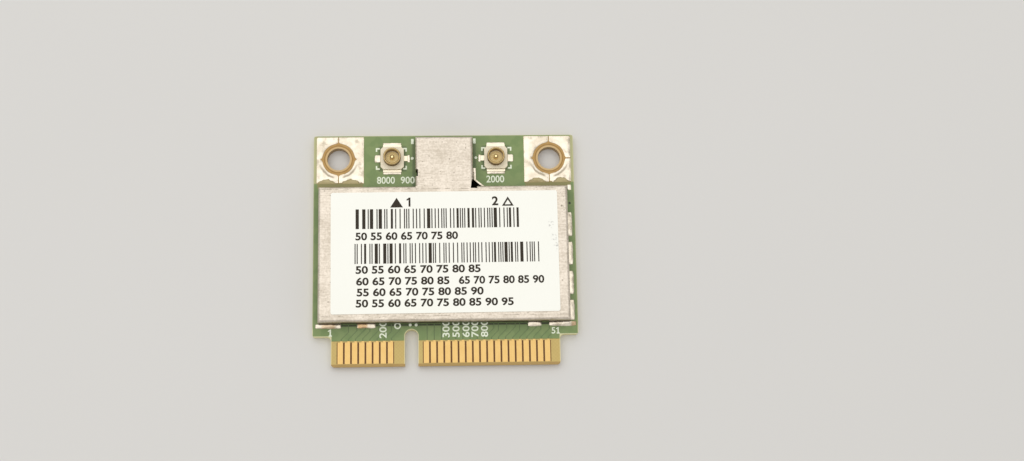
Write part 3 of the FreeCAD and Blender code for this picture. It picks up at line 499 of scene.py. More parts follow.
# %% [markdown]
# New pieces are drawn in millimetres, because that is how a card is measured, and turned into metres
# when they are finished. One helper does that for all of them: it points the faces outwards, makes
# the object, lets it ride on the card and says how many edges are left open.

# %% Helpers for new pieces
STEEP = 0.2
SORT_LINE = Vector((1.0, 0.7071, 0.5773))


def merge(target, part):
    """Moves one drawing into another."""
    passing = bpy.data.meshes.new("passing")
    part.to_mesh(passing)
    part.free()
    target.from_mesh(passing)
    bpy.data.meshes.remove(passing)


def thicken(bm, height):
    """Grows flat faces upwards into a closed solid, and gives the new top's vertices."""
    grown = bmesh.ops.extrude_face_region(bm, geom=bm.faces[:] + bm.edges[:], use_keep_orig=True)
    tops = {item for item in grown["geom"] if isinstance(item, bmesh.types.BMVert)}
    bmesh.ops.translate(bm, vec=(0, 0, height), verts=list(tops))
    return tops


def add_piece(name, bm, material, replaced=(), smooth=False):
    """Makes a drawing in millimetres a piece of the card. Steep faces stay flat."""
    bmesh.ops.recalc_face_normals(bm, faces=bm.faces)
    bmesh.ops.scale(bm, vec=(MM, MM, MM), verts=bm.verts)
    for face in bm.faces:
        face.smooth = smooth and abs(face.normal.z) > STEEP
    # Extruding leaves faces in an order that differs from run to run, so they are sorted along a line.
    bm.faces.sort(key=lambda face: face.calc_center_median().dot(SORT_LINE))
    open_edges = sum(not edge.is_manifold for edge in bm.edges)
    mesh = bpy.data.meshes.new(name)
    bm.to_mesh(mesh)
    bm.free()
    mesh.materials.append(material)
    piece = bpy.data.objects.new(name, mesh)
    bpy.context.collection.objects.link(piece)
    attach(piece, "root")
    if replaced:
        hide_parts(*replaced)
    print("piece:", name, len(mesh.polygons), "faces,", open_edges, "open edges")


def plate(target, left, right, front, rear, base, height):
    """Adds a thin rectangular layer."""
    middle = Matrix.Translation(((left + right) / 2, (front + rear) / 2, base + height / 2))
    size = Matrix.Diagonal((right - left, rear - front, height, 1))
    bmesh.ops.create_cube(target, size=1.0, matrix=middle @ size)


def ribbon(target, points, width, base, height, rounding=0.0):
    """Adds a thin track along a line of points that runs mainly along Y."""
    bm = bmesh.new()
    (x, y), *others = points
    edge = bm.edges.new([bm.verts.new((x + side * width / 2, y, base)) for side in (-1, 1)])
    for next_x, next_y in others:
        grown = bmesh.ops.extrude_edge_only(bm, edges=[edge])["geom"]
        ends = [item for item in grown if isinstance(item, bmesh.types.BMVert)]
        edge = next(e for e in bm.edges if set(e.verts) == set(ends))
        bmesh.ops.translate(bm, vec=(next_x - x, next_y - y, 0), verts=ends)
        x, y = next_x, next_y
    thicken(bm, height)
    if rounding:
        upper = [e for e in bm.edges if min(v.co.z for v in e.verts) > base + height / 2]
        bmesh.ops.bevel(bm, geom=upper, offset=rounding, affect="EDGES", segments=3, profile=0.5,
                        material=-1)
    merge(target, bm)


# %% [markdown]
# Around each mounting hole lie four quarters of solder, and some of them have run together into one
# half. Such a lobe isn't a box with a bite taken out: molten solder pulls itself up into a low dome,
# rounds its own corners and stops dead at the edge of its pad. A radius is spun around the hole to
# make a fan, the fan is stretched to fill the lobe's outline, and its top is raised by how far each
# point is from the nearest edge. Where two quarters met, a pointed ear of bare ring is left.

# %% Solder quarters
SOLDER_GAP = 0.05
SOLDER_INSET = 0.015
RING_RADIUS = 1.85
FLARE, EAR, FLARE_ANGLE = 0.14, 0.26, 0.06
SOLDER_HEIGHT = 0.12
SHOULDER = 0.60
GROOVE_PLACE, GROOVE_WIDTH = 0.32, 0.12
FRONT_GROOVE, REAR_GROOVE = 0.22, 0.08
SWELL, WAVE_SHARE, WAVE_SCALE, WAVE_SEED = 0.78, 0.3, 0.9, 3.0
TINY = 1e-6
RADIAL_STEPS, QUARTER_STEPS = 28, 36
PAD_INWARD, PAD_OUTWARD, PAD_REARWARD, PAD_FRONTWARD = 2.9, 2.5, 2.62, 2.9
QUARTER_TURN = math.pi / 2


def fan(start, quarters):
    """A closed fan of no height between two radii, spun through so many right angles."""
    bm = bmesh.new()
    radii = [1 + step / RADIAL_STEPS for step in range(RADIAL_STEPS + 1)]
    spine = [bm.verts.new((size * math.cos(start), size * math.sin(start), 0)) for size in radii]
    edges = [bm.edges.new(pair) for pair in zip(spine, spine[1:])]
    bmesh.ops.spin(bm, geom=spine + edges, axis=(0, 0, 1), angle=quarters * QUARTER_TURN,
                   steps=quarters * QUARTER_STEPS)
    return bm, thicken(bm, 0.0)


def lobe(side_x, side_y, reach_x):
    """A dome of solder on one side of the hole: a rear or front quarter, or both of them for 0."""
    bm, tops = fan(0.0, 1) if side_y > 0 else fan(-QUARTER_TURN, 1 if side_y else 2)
    gap_y = SOLDER_GAP * side_y
    wide = reach_x - SOLDER_INSET - SOLDER_GAP
    for vert in bm.verts:
        share = math.hypot(vert.co.x, vert.co.y) - 1
        angle = math.atan2(vert.co.y, vert.co.x)
        cosine, sine = math.cos(angle), math.sin(angle)
        reach_y = PAD_REARWARD if side_y > 0 or (side_y == 0 and sine > 0) else PAD_FRONTWARD
        deep = reach_y - SOLDER_INSET - abs(gap_y)
        ear = (FLARE if side_y else EAR) * math.exp(-abs(angle) / FLARE_ANGLE)
        flare = FLARE * math.exp((abs(angle) - QUARTER_TURN) / FLARE_ANGLE)
        inner = RING_RADIUS - SOLDER_GAP * cosine - abs(gap_y * sine) + ear + flare
        outer = min(wide / max(cosine, TINY), deep / max(abs(sine), TINY))
        radius = inner + (outer - inner) * share
        across, along = radius * cosine, radius * abs(sine)
        edge = min(radius - inner, across, wide - across, deep - along, along if side_y else across)
        rounded = 1 - (1 - min(max(edge, 0.0) / SHOULDER, 1)) ** 2
        groove = math.exp(-((radius - inner - GROOVE_PLACE) / GROOVE_WIDTH) ** 2) * abs(sine)
        wave = noise.noise((side_x * across * WAVE_SCALE, radius * sine * WAVE_SCALE, WAVE_SEED))
        hollow = (FRONT_GROOVE if sine < 0 else REAR_GROOVE) * groove
        swell = min(SWELL - hollow + WAVE_SHARE * wave, 1.0)
        lift = SOLDER_HEIGHT * rounded * swell if vert in tops else 0.0
        vert.co = (side_x * (SOLDER_GAP + across), gap_y + radius * sine, BOARD_TOP + lift)
    return bm


for name, side in (("left", -1), ("right", 1)):
    lobes = bmesh.new()
    for side_x in (-1, 1):
        reach_x = PAD_OUTWARD if side_x == side else PAD_INWARD
        for side_y in ((1, -1) if side_x == side == 1 else (0,)):
            merge(lobes, lobe(side_x, side_y, reach_x))
    bmesh.ops.translate(lobes, vec=(side * HOLE_X, HOLE_Y, 0), verts=lobes.verts)
    add_piece(f"solder_quarters_{name}", lobes, bright_solder, [f"pad_solder_{name}"],
              smooth=True)

# %% [markdown]
# The can is held by beads of solder along its feet, and the sockets by small joints at their legs.
# Such a bead is highest against the metal that it wets and thins out to an uneven edge. A grid the
# size of the bead is extruded into a slab, and its top is then bent to that slope.

# %% Beads of solder
BEAD_WOBBLE, BEAD_WAVE_SCALE = 0.05, 1.7
BEAD_FOOT = 0.012
BEAD_TAPER, BEAD_END_POWER = 0.18, 6
BEAD_SWELL, BEAD_WAVE = 0.85, 0.3


def bead(left, right, front, rear, height, away, seed, segments=(28, 8)):
    """A bead on the board that leans on the metal opposite to the way it points."""
    bm = bmesh.new()
    place = Matrix.Translation(((left + right) / 2, (front + rear) / 2, BOARD_TOP))
    size = Matrix.Diagonal((right - left, rear - front, 1, 1))
    along_x = away in ("front", "rear")
    x_steps, y_steps = segments if along_x else segments[::-1]
    bmesh.ops.create_grid(bm, x_segments=x_steps, y_segments=y_steps, size=0.5, matrix=place @ size)
    tops = thicken(bm, 0.0)
    for vert in bm.verts:
        u = (vert.co.x - left) / (right - left)
        v = (vert.co.y - front) / (rear - front)
        out = {"front": 1 - v, "rear": v, "right": u, "left": 1 - u}[away]
        end = abs(2 * (u if along_x else v) - 1)
        wave = noise.noise((vert.co.x * BEAD_WAVE_SCALE, vert.co.y * BEAD_WAVE_SCALE, seed))
        swing = BEAD_WOBBLE * wave * out
        round_off = 1 - BEAD_TAPER * out * end ** BEAD_END_POWER
        if away == "front":
            vert.co.y = rear - (rear - vert.co.y) * round_off + swing
        elif away == "rear":
            vert.co.y = front + (vert.co.y - front) * round_off + swing
        elif away == "right":
            vert.co.x = left + (vert.co.x - left) * round_off + swing
        else:
            vert.co.x = right - (right - vert.co.x) * round_off + swing
        if vert in tops:
            slope = (1 - out ** 2) * (1 - end ** BEAD_END_POWER)
            lift = height * slope * (BEAD_SWELL + BEAD_WAVE * wave)
            vert.co.z = BOARD_TOP + BEAD_FOOT + lift
    return bm


CAN_FRONT, CAN_RIGHT = -8.545, 13.995
FRONT_FEET = ((-14.62, -11.73, 0.12), (-9.96, -7.86, 0.10), (9.24, 10.78, 0.10), (11.61, 14.72, 0.12))
FOOT_REACH = 0.50
SIDE_STRIPS = ((-8.39, -6.05), (-5.42, -2.71), (-2.01, 0.66), (1.31, 4.12))
STRIP_RIGHT, STRIP_HEIGHT = 14.58, 0.12
REAR_DAB, DAB_GAP, DAB_HEIGHT = (6.72, 7.37), 0.15, 0.05
NECK_LAND = ((3.44, 9.42), (TEAR_X, TEAR_Y), (4.50, 7.20))
LAND_WIDTH, LAND_HEIGHT, LAND_ROUNDING = 0.38, 0.06, 0.05
beads = bmesh.new()
for count, (left, right, height) in enumerate(FRONT_FEET):
    merge(beads, bead(left, right, CAN_FRONT - FOOT_REACH, CAN_FRONT, height, "front", count))
for count, (front, rear) in enumerate(SIDE_STRIPS):
    merge(beads, bead(CAN_RIGHT, STRIP_RIGHT, front, rear, STRIP_HEIGHT, "right", 10 + count))
merge(beads, bead(CAN_RIGHT + DAB_GAP, STRIP_RIGHT, *REAR_DAB, DAB_HEIGHT, "right", 15))
ribbon(beads, NECK_LAND, LAND_WIDTH, BOARD_TOP, LAND_HEIGHT, LAND_ROUNDING)
add_piece("can_solder", beads, bright_solder, ["shield_solder"], smooth=True)

LEG_HALF, LEG_END, JOINT = 1.05, 1.6, 0.28
TAIL_HALF, TAIL_END, BASE_HALF = 0.43, 1.75, 1.325
LEG_JOINT_HEIGHT, TAIL_JOINT_HEIGHT = 0.07, 0.05
for number, side in ((1, -1), (2, 1)):
    joints = bmesh.new()
    x = side * SOCKET_X
    for end, away in ((1, "rear"), (-1, "front")):
        span = sorted((SOCKET_Y + end * LEG_END, SOCKET_Y + end * (LEG_END + JOINT)))
        merge(joints, bead(x - LEG_HALF, x + LEG_HALF, *span, LEG_JOINT_HEIGHT, away, 20 + end))
    for inwards, start in ((-side, TAIL_END), (side, BASE_HALF)):
        span = sorted((x + inwards * start, x + inwards * (TAIL_END + JOINT)))
        away = "right" if inwards > 0 else "left"
        sides = (SOCKET_Y - TAIL_HALF, SOCKET_Y + TAIL_HALF)
        merge(joints, bead(*span, *sides, TAIL_JOINT_HEIGHT, away, 24 + inwards))
    add_piece(f"socket_joints_{number}", joints, bright_solder,
              [f"antenna_socket_{number}_solder"], smooth=True)

# %% [markdown]
# The can is tin-plated sheet. Rolling leaves fine lines across it, handling leaves dull smears, and a
# few dark pits and specks sit in the plating. A metal shows its surroundings, so the lines go into
# the roughness and a very shallow relief as much as into the colour. The folded walls are painted
# browner than the lid as a painted reflection, their lowest part is painted near black as painted
# shadow, and two crease lines on the lid are painted darker as painted shade.

# %% Can finish
PRICK_X, PRICK_Y = 13.3, 4.5
CAN_TOP = 2.6
FRONT_CREASE, REAR_CREASE = (-7.97, -7.91), (6.58, 6.66)


def can_finish():
    tin = Finish("tinned_sheet", 1.0)
    rolled = tin.grain(1.6, 5.0, (0.6, 9.0, 9.0))
    smear = tin.grain(0.5, 5.0)
    mottle = tin.grain(4.5, 3.0)
    shade = rolled * 0.35 + smear * 0.35 + mottle * 0.3
    colour = tin.blend(shade.rise(0.34, 0.66), screen(190, 179, 163), screen(234, 224, 210))
    pits = tin.grain(5.5, 0.0).rise(0.80, 0.84)
    prick = 1 - (tin.x - PRICK_X).reach(tin.y - PRICK_Y).rise(0.06, 0.16)
    dark = pits.most(prick)
    colour = tin.blend(dark * 0.6, colour, screen(104, 92, 74))
    strayed = tin.y + (mottle - 0.5) * 0.16
    # Painted shade: two crease lines across the lid are painted darker.
    painted_crease_shade = strayed.within(*FRONT_CREASE, 0.02).most(strayed.within(*REAR_CREASE, 0.02))
    painted_crease_shade = painted_crease_shade * tin.grain(0.8, 3.0).rise(0.44, 0.58)
    colour = tin.blend(painted_crease_shade * 0.55, colour, screen(112, 98, 80))
    # Painted reflection: the walls below the lid are painted browner, as darker surroundings would
    # show in them.
    painted_dark_wall = 1 - tin.z.rise(CAN_TOP - 0.6, CAN_TOP - 0.25)
    colour = tin.blend(painted_dark_wall * 0.7, colour, screen(132, 115, 88))
    # Painted shadow: the lowest part of the walls is painted near black.
    foot = 1 - tin.z.rise(CAN_TOP - 1.1, CAN_TOP - 0.5)
    colour = tin.blend(foot * 0.8, colour, screen(58, 46, 30))
    tin.relief(rolled * 0.5 + mottle * 0.5 - dark * 0.8, 0.014)
    return tin.done(colour, 0.36 + rolled * 0.12 + smear * 0.14)


wear(["shield_can"], can_finish())

# %% [markdown]
# The label is coated paper. It is nearly white, but fibres under the coating show as a faint grain,
# and thumbs have left grey scuffs near its right end.

# %% Label finish
SCUFFS = ((12.0, 2.4), (12.3, 0.8), (12.6, -0.2))


def label_finish():
    paper = Finish("coated_paper")
    fibre = paper.grain(7.0, 4.0)
    cloud = paper.grain(0.25, 2.0)
    colour = paper.blend(fibre * 0.5 + cloud * 0.5, screen(250, 250, 240), screen(255, 255, 248))
    for x, y in SCUFFS:
        rub = 1 - ((paper.x - x) * 1.6).reach(paper.y - y).rise(0.2, 0.7)
        patchy = paper.grain(4.0, 3.0).rise(0.5, 0.65)
        colour = paper.blend(rub * patchy, colour, screen(205, 204, 198))
    paper.relief(fibre, 0.006)
    return paper.done(colour, 0.5 + fibre * 0.15)


wear(["printed_label"], label_finish())

# %% [markdown]
# The print on the label is plain: two rows of bars, five lines of numbers that count in fives, and the
# number and triangle of each antenna port. Ink is a layer, so it is drawn as thin solids that lie on
# the paper and turn with it, because the label was stuck on a little askew. Digits come from a text
# curve that is made a mesh before it is fitted to its place.

# %% Print on the label
INK = 0.006
LABEL_TOP = 2.7
LABEL_TILT = math.radians(0.23)
LABEL_MIDDLE = (0.0, -0.695, 0.0)
HEAVY, LIGHT = 0.03, 0.018
BAR_WIDTHS, GAP_WIDTHS = (1, 1, 1, 1, 1, 1, 2, 3), (1, 1, 2, 2, 3)
TRIANGLE_WIDTH, TRIANGLE_HEIGHT = 1.732, 1.5  # of a triangle in a circle of radius 1
SOLE, FLAG_REACH, FLAG_ROOT, FLAG_DROP, FLAG_TIP = 0.8, 1.7, 1.2, 0.24, 0.34
WELD = 1e-5


def lettering(target, text, middle, length, height, base, thickness, weight, turn=0.0):
    """Adds digits of a given length, height and weight, centred on a place."""
    curve = bpy.data.curves.new("digits", "FONT")
    curve.body = text
    curve.offset = weight
    curve.extrude = 0.5
    curve.resolution_u = 4
    holder = bpy.data.objects.new("digits", curve)
    bpy.context.collection.objects.link(holder)
    bpy.context.view_layer.update()
    drawn = holder.evaluated_get(bpy.context.evaluated_depsgraph_get())
    shape = bpy.data.meshes.new_from_object(drawn)
    bpy.data.objects.remove(holder)
    bpy.data.curves.remove(curve)
    lows = [min(vert.co[axis] for vert in shape.vertices) for axis in range(3)]
    highs = [max(vert.co[axis] for vert in shape.vertices) for axis in range(3)]
    centre = Matrix.Translation([-(low + high) / 2 for low, high in zip(lows, highs)])
    wanted = (length, height, thickness)
    size = [goal / (high - low) for goal, low, high in zip(wanted, lows, highs)]
    place = Matrix.Translation((*middle, base + thickness / 2))
    shape.transform(place @ Matrix.Rotation(turn, 4, "Z") @ Matrix.Diagonal((*size, 1)) @ centre)
    letters = bmesh.new()
    letters.from_mesh(shape)
    bpy.data.meshes.remove(shape)
    bmesh.ops.remove_doubles(letters, verts=letters.verts, dist=WELD)
    merge(target, letters)


def figure_one(target, middle, height, stroke, base, thickness, foot=0.0):
    """Adds a 1 with a flag, and with a foot where it has one."""
    x, y = middle
    low, high, half, wide = y - height / 2, y + height / 2, stroke / 2, max(foot, stroke) / 2
    sole, drop, tip = low + stroke * SOLE, high - height * FLAG_DROP, high - height * FLAG_TIP
    outline = ((x - wide, low), (x + wide, low), (x + wide, sole), (x + half, sole), (x + half, high),
               (x - half * 0.6, high), (x - stroke * FLAG_REACH, drop), (x - stroke * FLAG_ROOT, tip),
               (x - half, drop), (x - half, sole), (x - wide, sole))
    bm = bmesh.new()
    corners = [bm.verts.new((*corner, base)) for corner in outline]
    edges = [bm.edges.new(pair) for pair in zip(corners, corners[1:] + corners[:1])]
    bmesh.ops.edgeloop_fill(bm, edges=edges)
    thicken(bm, thickness)
    bmesh.ops.remove_doubles(bm, verts=bm.verts, dist=WELD)
    merge(target, bm)


def bars(target, seed, count, left, right, front, rear):
    """A row of upright bars of unlike widths, drawn by lot."""
    draw = random.Random(seed)
    widths = [draw.choice(GAP_WIDTHS if index % 2 else BAR_WIDTHS) for index in range(2 * count - 1)]
    unit = (right - left) / sum(widths)
    edge = left
    for index, width in enumerate(widths):
        if index % 2 == 0:
            plate(target, edge, edge + width * unit, front, rear, LABEL_TOP, INK)
        edge += width * unit


def outlined(place, radius, segments, line):
    """A flat ring with so many sides."""
    bm = bmesh.new()
    for size in (radius, radius - line):
        bmesh.ops.create_circle(bm, radius=size, segments=segments, matrix=place)
    bmesh.ops.bridge_loops(bm, edges=bm.edges[:])
    return bm


def port_mark(target, middle, width, height, line=0.0):
    """A port's triangle, solid or drawn with a line."""
    size = Matrix.Diagonal((width / TRIANGLE_WIDTH, height / TRIANGLE_HEIGHT, 1, 1))
    place = Matrix.Translation((*middle, LABEL_TOP)) @ size
    if line:
        bm = outlined(place, 1.0, 3, line)
    else:
        bm = bmesh.new()
        bmesh.ops.create_circle(bm, cap_ends=True, radius=1.0, segments=3, matrix=place)
    thicken(bm, INK)
    merge(target, bm)


# seed, count, left, right, front and rear of each row of bars
BAR_ROWS = ((11, 47, -10.02, 8.40, 2.02, 4.30), (23, 56, -10.14, 10.60, -1.98, 0.32))
# text, left, right and middle of each line
DIGIT_LINES = (
    ("50 55 60 65 70 75 80", -10.04, 1.48, 1.17),
    ("50 55 60 65 70 75 80 85", -10.03, 3.96, -2.66),
    ("60 65 70 75 80 85", -9.97, 0.45, -3.98),
    ("65 70 75 80 85 90", 1.50, 11.09, -3.98),
    ("55 60 65 70 75 80 85 90", -9.91, 4.25, -5.22),
    ("50 55 60 65 70 75 80 85 90 95", -10.02, 7.59, -6.47),
)
DIGIT_HEIGHT = 0.93
PORT_HEIGHT, PORT_STROKE, PORT_LENGTH = 1.05, 0.22, 0.72
INK_GLOSS = 0.2
printed = bmesh.new()
for row in BAR_ROWS:
    bars(printed, *row)
for text, left, right, middle in DIGIT_LINES:
    centre = ((left + right) / 2, middle)
    lettering(printed, text, centre, right - left, DIGIT_HEIGHT, LABEL_TOP, INK, HEAVY)
figure_one(printed, (-3.94, 5.07), PORT_HEIGHT, PORT_STROKE, LABEL_TOP, INK)
lettering(printed, "2", (5.75, 5.10), PORT_LENGTH, PORT_HEIGHT, LABEL_TOP, INK, HEAVY)
port_mark(printed, (-5.40, 4.84), 1.45, 1.13)
port_mark(printed, (7.19, 4.86), 1.34, 1.08, line=0.48)
tilt = Matrix.Rotation(LABEL_TILT, 3, "Z")
bmesh.ops.rotate(printed, cent=LABEL_MIDDLE, matrix=tilt, verts=printed.verts)

ink = Finish("black_ink")
ink.feed(ink.shader.inputs["Specular IOR Level"], INK_GLOSS)
worn = ink.grain(9.0, 3.0)
ink_colour = ink.blend(worn, screen(44, 38, 29), screen(64, 56, 45))
black_ink = ink.done(ink_colour, 0.5 + worn * 0.2)
add_piece("label_print", printed, black_ink)

# %% [markdown]
# Copper under the mask shows as fine darker lines: a track leaves each contact, slants towards the
# chip that it serves and goes under the can. Where it leaves the contact it is still bare gold. The
# tracks are ribbons grown from one edge, a step at a time.

# %% Tracks
TRACK = 0.10
TRACK_HEIGHT = 0.008
CONTACT_COUNTS = ((FIRST_CONTACT, 8), (-2.2, 18))
STUB_LEFT, STUB_RIGHT, STUB_FRONT, STUB_THICKNESS = -0.02, 0.24, -10.63, 0.04
STRAIGHT_TRACKS = 7
TRACK_ASIDE, TRACK_END = 0.1, -8.4
TURN_Y, TURN_STEP = -10.28, 0.03
SLANT, SLANT_STEP, LEAST_RISE = 0.8, 0.15, 0.3
tracks = bmesh.new()
stubs = bmesh.new()
for group, (first, count) in enumerate(CONTACT_COUNTS):
    for index in range(count):
        x = first + CONTACT_PITCH * index
        base = BOARD_TOP - STUB_THICKNESS
        plate(stubs, x + STUB_LEFT, x + STUB_RIGHT, STUB_FRONT, MASK_END, base, STUB_THICKNESS)
        straight = group == 1 and index < STRAIGHT_TRACKS
        shift = 0.0 if straight else SLANT + SLANT_STEP * (index % 3)
        turn = TURN_Y + TURN_STEP * (index % 4)
        start, end = x + TRACK_ASIDE, x + TRACK_ASIDE + shift
        rise = max(shift, LEAST_RISE)
        path = [(start, MASK_END), (start, turn), (end, turn + rise), (end, TRACK_END)]
        ribbon(tracks, path, TRACK, BOARD_TOP, TRACK_HEIGHT)
thread = Finish("masked_copper")
shade = thread.grain(1.5, 2.0)
thread_colour = thread.blend(shade, screen(84, 106, 60), screen(104, 124, 76))
masked_copper = thread.done(thread_colour, 0.4 + shade * 0.1)
add_piece("tracks", tracks, masked_copper)
add_piece("contact_stubs", stubs, gold_plating)

# %% [markdown]
# The underside carries no parts, but it isn't bare. Tracks cross it, small caps of mask close the
# plated holes that join the layers, and gold test pads wait for the maker's probes. All of them are
# flat discs and ribbons, about a hundredth of a millimetre thick.

# %% Underside
TEST_PADS = ((-9.5, 4.5), (-7.0, 4.5), (-4.5, 4.5), (2.0, 5.5), (4.5, 5.5), (8.0, 1.0), (8.0, -1.5),
             (-2.0, -3.0), (-10.5, -5.5), (10.5, -6.0))
TEST_PAD_RADIUS, VIA_RADIUS, VIA_CLEARANCE = 0.5, 0.22, 0.9
PAD_RISE = 0.012
DISC_SIDES, DISC_TOP = 20, 0.94
UNDER_SEED = 5
VIA_COLUMNS, VIA_LEFT, VIA_STEP_X, VIA_STRAY_X = 12, -13.0, 2.35, 0.7
VIA_ROWS, VIA_FRONT, VIA_STEP_Y, VIA_STRAY_Y = 7, -8.0, 2.1, 0.6
UNDER_COUNT, UNDER_LEFT, UNDER_BEFORE_KEY, UNDER_KEY_GAP = 24, -11.4, 8, 4
UNDER_WIDTH, UNDER_SLANT, UNDER_RISE = 0.12, 1.2, 1.3
UNDER_TURNS, UNDER_ENDS = (-9.6, -8.4), (-5.0, 3.5)


def disc(target, x, y, radius, base, height):
    """Adds a flat round layer with a slightly smaller top."""
    place = Matrix.Translation((x, y, base + height / 2))
    bmesh.ops.create_cone(target, cap_ends=True, segments=DISC_SIDES, radius1=radius,
                          radius2=radius * DISC_TOP, depth=abs(height), matrix=place)


test_pads = bmesh.new()
for x, y in TEST_PADS:
    disc(test_pads, x, y, TEST_PAD_RADIUS, 0, -PAD_RISE)
add_piece("test_pads", test_pads, gold_plating)
draw = random.Random(UNDER_SEED)
vias = bmesh.new()
for column in range(VIA_COLUMNS):
    for row in range(VIA_ROWS):
        x = VIA_LEFT + VIA_STEP_X * column + draw.uniform(-VIA_STRAY_X, VIA_STRAY_X)
        y = VIA_FRONT + VIA_STEP_Y * row + draw.uniform(-VIA_STRAY_Y, VIA_STRAY_Y)
        if min(math.hypot(x - px, y - py) for px, py in TEST_PADS) > VIA_CLEARANCE:
            disc(vias, x, y, VIA_RADIUS, 0, -PAD_RISE)
under_tracks = bmesh.new()
for index in range(UNDER_COUNT):
    x = UNDER_LEFT + CONTACT_PITCH * (index if index < UNDER_BEFORE_KEY else index + UNDER_KEY_GAP)
    end = x + draw.uniform(-UNDER_SLANT, UNDER_SLANT)
    turn = draw.uniform(*UNDER_TURNS)
    path = [(x, MASK_END), (x, turn), (end, turn + UNDER_RISE), (end, draw.uniform(*UNDER_ENDS))]
    depth = TRACK_HEIGHT * (0.5 + 0.1 * (index % 6))  # tracks that cross lie at unlike depths
    ribbon(under_tracks, path, UNDER_WIDTH, -depth, depth)
add_piece("vias", vias, masked_copper)
add_piece("underside_tracks", under_tracks, masked_copper)

# %% [markdown]
# White marks are printed on the mask as well: corner brackets around each socket, dashes and dots
# beside the can's neck, dots and a ring behind the key notch, the numbers of the outermost contacts
# and small part numbers. The ink is thick enough to stand out, so these too are thin solids.

# %% White marks
MARK = 0.014
STROKE = 0.17
ARM = 0.45
BRACKETS = ((-7.84, -4.27, 9.30, 11.88), (4.28, 7.78, 9.32, 11.91))
DASHES = ((-3.64, 12.64), (3.51, 12.65))
DOTS = ((-3.66, 10.63), (3.66, 10.65), (-3.99, -8.72), (-3.32, -8.72))
DASH_HALF_X, DASH_HALF_Y, DOT_RADIUS = 0.15, 0.3, 0.17
PART_NUMBERS = (("200", -7.04), ("300", 0.02), ("500", 1.14), ("600", 2.26), ("700", 3.27),
                ("800", 4.34))
PART_NUMBER_Y, PART_NUMBER_LENGTH, PART_NUMBER_HEIGHT = -9.20, 1.95, 0.82
SOCKET_NUMBERS = (("8000", (-6.68, 8.05), 2.05), ("900", (-4.19, 8.05), 1.60),
                  ("2000", (5.86, 8.10), 2.05))
SOCKET_NUMBER_HEIGHT = 0.84
RING_MARK, RING_MARK_RADIUS, RING_MARK_SIDES, RING_MARK_LINE = (-5.41, -8.80), 0.38, 28, 0.16
marks = bmesh.new()
for left, right, front, rear in BRACKETS:
    for x, inwards in ((left, 1), (right, -1)):
        for y, upwards in ((front, 1), (rear, -1)):
            arm_x = sorted((x, x + inwards * ARM))
            arm_y = sorted((y, y + upwards * STROKE))
            plate(marks, *arm_x, *arm_y, BOARD_TOP, MARK)
            leg_x = sorted((x, x + inwards * STROKE))
            leg_y = sorted((y + upwards * STROKE, y + upwards * ARM))
            plate(marks, *leg_x, *leg_y, BOARD_TOP, MARK)
for x, y in DASHES:
    plate(marks, x - DASH_HALF_X, x + DASH_HALF_X, y - DASH_HALF_Y, y + DASH_HALF_Y, BOARD_TOP, MARK)
for x, y in DOTS:
    disc(marks, x, y, DOT_RADIUS, BOARD_TOP, MARK)
for text, x in PART_NUMBERS:
    lettering(marks, text, (x, PART_NUMBER_Y), PART_NUMBER_LENGTH, PART_NUMBER_HEIGHT, BOARD_TOP, MARK,
              LIGHT, math.pi / 2)
for text, middle, length in SOCKET_NUMBERS:
    lettering(marks, text, middle, length, SOCKET_NUMBER_HEIGHT, BOARD_TOP, MARK, LIGHT)
figure_one(marks, (-12.92, -9.52), 0.80, 0.17, BOARD_TOP, MARK, 0.36)
lettering(marks, "5", (12.11, -9.54), 0.43, 0.74, BOARD_TOP, MARK, LIGHT)
figure_one(marks, (12.64, -9.54), 0.74, 0.15, BOARD_TOP, MARK, 0.36)
ring_place = Matrix.Translation((*RING_MARK, BOARD_TOP))
ring_mark = outlined(ring_place, RING_MARK_RADIUS, RING_MARK_SIDES, RING_MARK_LINE)
thicken(ring_mark, MARK)
merge(marks, ring_mark)
white = Finish("white_ink")
patchy = white.grain(6.0, 3.0)
white_colour = white.blend(patchy, screen(226, 236, 206), screen(246, 250, 234))
white_ink = white.done(white_colour, 0.5 + patchy * 0.2)
add_piece("white_marks", marks, white_ink)

# %% [markdown]
# The sockets are bought-in parts: a pale moulded base, a plated ring that a plug pushes over, and a
# gold contact in its middle. Their CAD shapes are right already, so they only need finishes. The
# ring's legs are tinned where they meet the solder, its walls below the lip are painted dark as a
# painted reflection, and the moulding inside the ring is painted gold as a painted reflection of the
# ring.

# %% Socket finishes
RING_INNER = 0.8
LEG_TOP, LIP_FOOT = 1.15, 2.18


def insulator_finish():
    base = Finish("pale_moulding")
    flow = base.grain(2.0, 3.0)
    away = (abs(base.x) - SOCKET_X).reach(base.y - SOCKET_Y)
    colour = base.blend(flow, screen(236, 222, 192), screen(248, 238, 214))
    # Painted reflection: the moulding inside the ring is painted gold, as the ring's gold would show
    # on it.
    colour = base.blend(1 - away.rise(RING_INNER - 0.08, RING_INNER), colour, screen(255, 228, 160))
    base.relief(base.grain(12.0, 2.0), 0.004)
    return base.done(colour, 0.45 + flow * 0.15)


def plating_finish():
    plated = Finish("socket_plating", 1.0)
    drawn = plated.grain(3.0, 3.0, (1.0, 1.0, 0.2))
    lip = plated.blend(drawn, screen(162, 138, 88), screen(208, 182, 132))
    # Painted reflection: the ring's walls below the lip are painted dark, as darker surroundings would
    # show in them.
    painted_dark_wall = plated.blend(drawn, screen(112, 86, 44), screen(152, 122, 72))
    ring = plated.blend(plated.z.rise(LIP_FOOT - 0.04, LIP_FOOT), painted_dark_wall, lip)
    legs = plated.blend(drawn, screen(222, 210, 183), screen(238, 228, 207))
    colour = plated.blend(plated.z.rise(LEG_TOP + 0.02, LEG_TOP + 0.08), legs, ring)
    plated.relief(plated.grain(8.0, 2.0), 0.003)
    return plated.done(colour, 0.24 + drawn * 0.14)


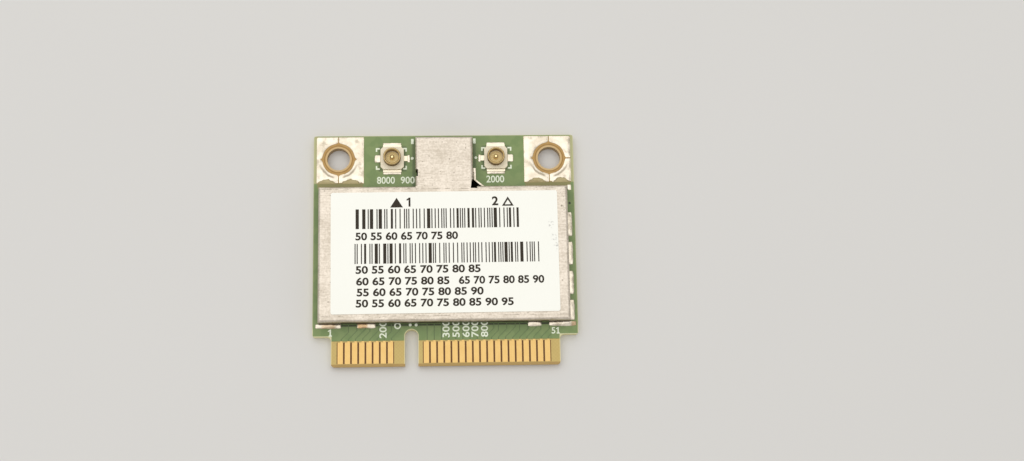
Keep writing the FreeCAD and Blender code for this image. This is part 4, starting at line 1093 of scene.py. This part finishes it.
def pin_finish():
    pin = Finish("pin_plating", 1.0)
    cloud = pin.grain(3.0, 3.0)
    gold = pin.blend(cloud, screen(250, 220, 152), screen(254, 238, 190))
    tinned = pin.blend(cloud, screen(237, 223, 193), screen(252, 243, 222))
    colour = pin.blend(pin.z.rise(LEG_TOP, LEG_TOP + 0.05), tinned, gold)
    return pin.done(colour, 0.4 + cloud * 0.1)


wear(["antenna_socket_1_base", "antenna_socket_2_base"], insulator_finish())
wear(["antenna_socket_1_pin", "antenna_socket_2_pin"], pin_finish())
wear(["antenna_socket_1_ring", "antenna_socket_2_ring"], plating_finish())

# %% [markdown]
# The chips under the can can't be seen, but the can may be lifted off one day, so each still gets
# the finish of its kind: black moulding, pressed ferrite, fired ceramic and tinned ends.

# %% Finishes under the can
PART_HALF, BODY_HALF = 0.5, (0.27, 0.29)


def speckled(name, dark, pale, scale, roughness, metallic=0.0):
    """A finish whose two tones mix in grains of one size."""
    finish = Finish(name, metallic)
    grain = finish.grain(scale, 4.0)
    finish.relief(grain, 0.006)
    return finish.done(finish.blend(grain, dark, pale), roughness + grain * 0.12)


def tinned_ends(name, node, dark, pale):
    """Two rows of small parts along the card's width: a coloured body between two tinned ends."""
    finish = Finish(name)
    low, high = (corner.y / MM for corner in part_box(node))
    away = abs(finish.y - (low + PART_HALF)).least(abs(finish.y - (high - PART_HALF)))
    end = away.rise(*BODY_HALF)
    grain = finish.grain(8.0, 3.0)
    colour = finish.blend(end, finish.blend(grain, dark, pale), screen(226, 222, 210))
    wear([node], finish.done(colour, 0.5 - end * 0.2 + grain * 0.1, end))


moulding = speckled("black_moulding", screen(24, 24, 25), screen(48, 48, 49), 9.0, 0.5)
wear(["radio_chip", "memory_chip", "regulator_chip", "antenna_switch"], moulding)
ferrite = speckled("pressed_ferrite", screen(70, 70, 74), screen(98, 98, 102), 6.0, 0.55)
wear(["power_inductor"], ferrite)
lid = speckled("crystal_lid", screen(196, 192, 180), screen(224, 220, 208), 3.0, 0.3, 1.0)
wear(["crystal"], lid)
ceramic = speckled("fired_ceramic", screen(206, 200, 188), screen(226, 222, 212), 5.0, 0.5)
wear(["radio_filters"], ceramic)
tinned_ends("brown_ceramic", "chip_capacitors", screen(150, 116, 84), screen(176, 142, 106))
tinned_ends("black_glaze", "chip_resistors", screen(26, 26, 28), screen(52, 52, 54))
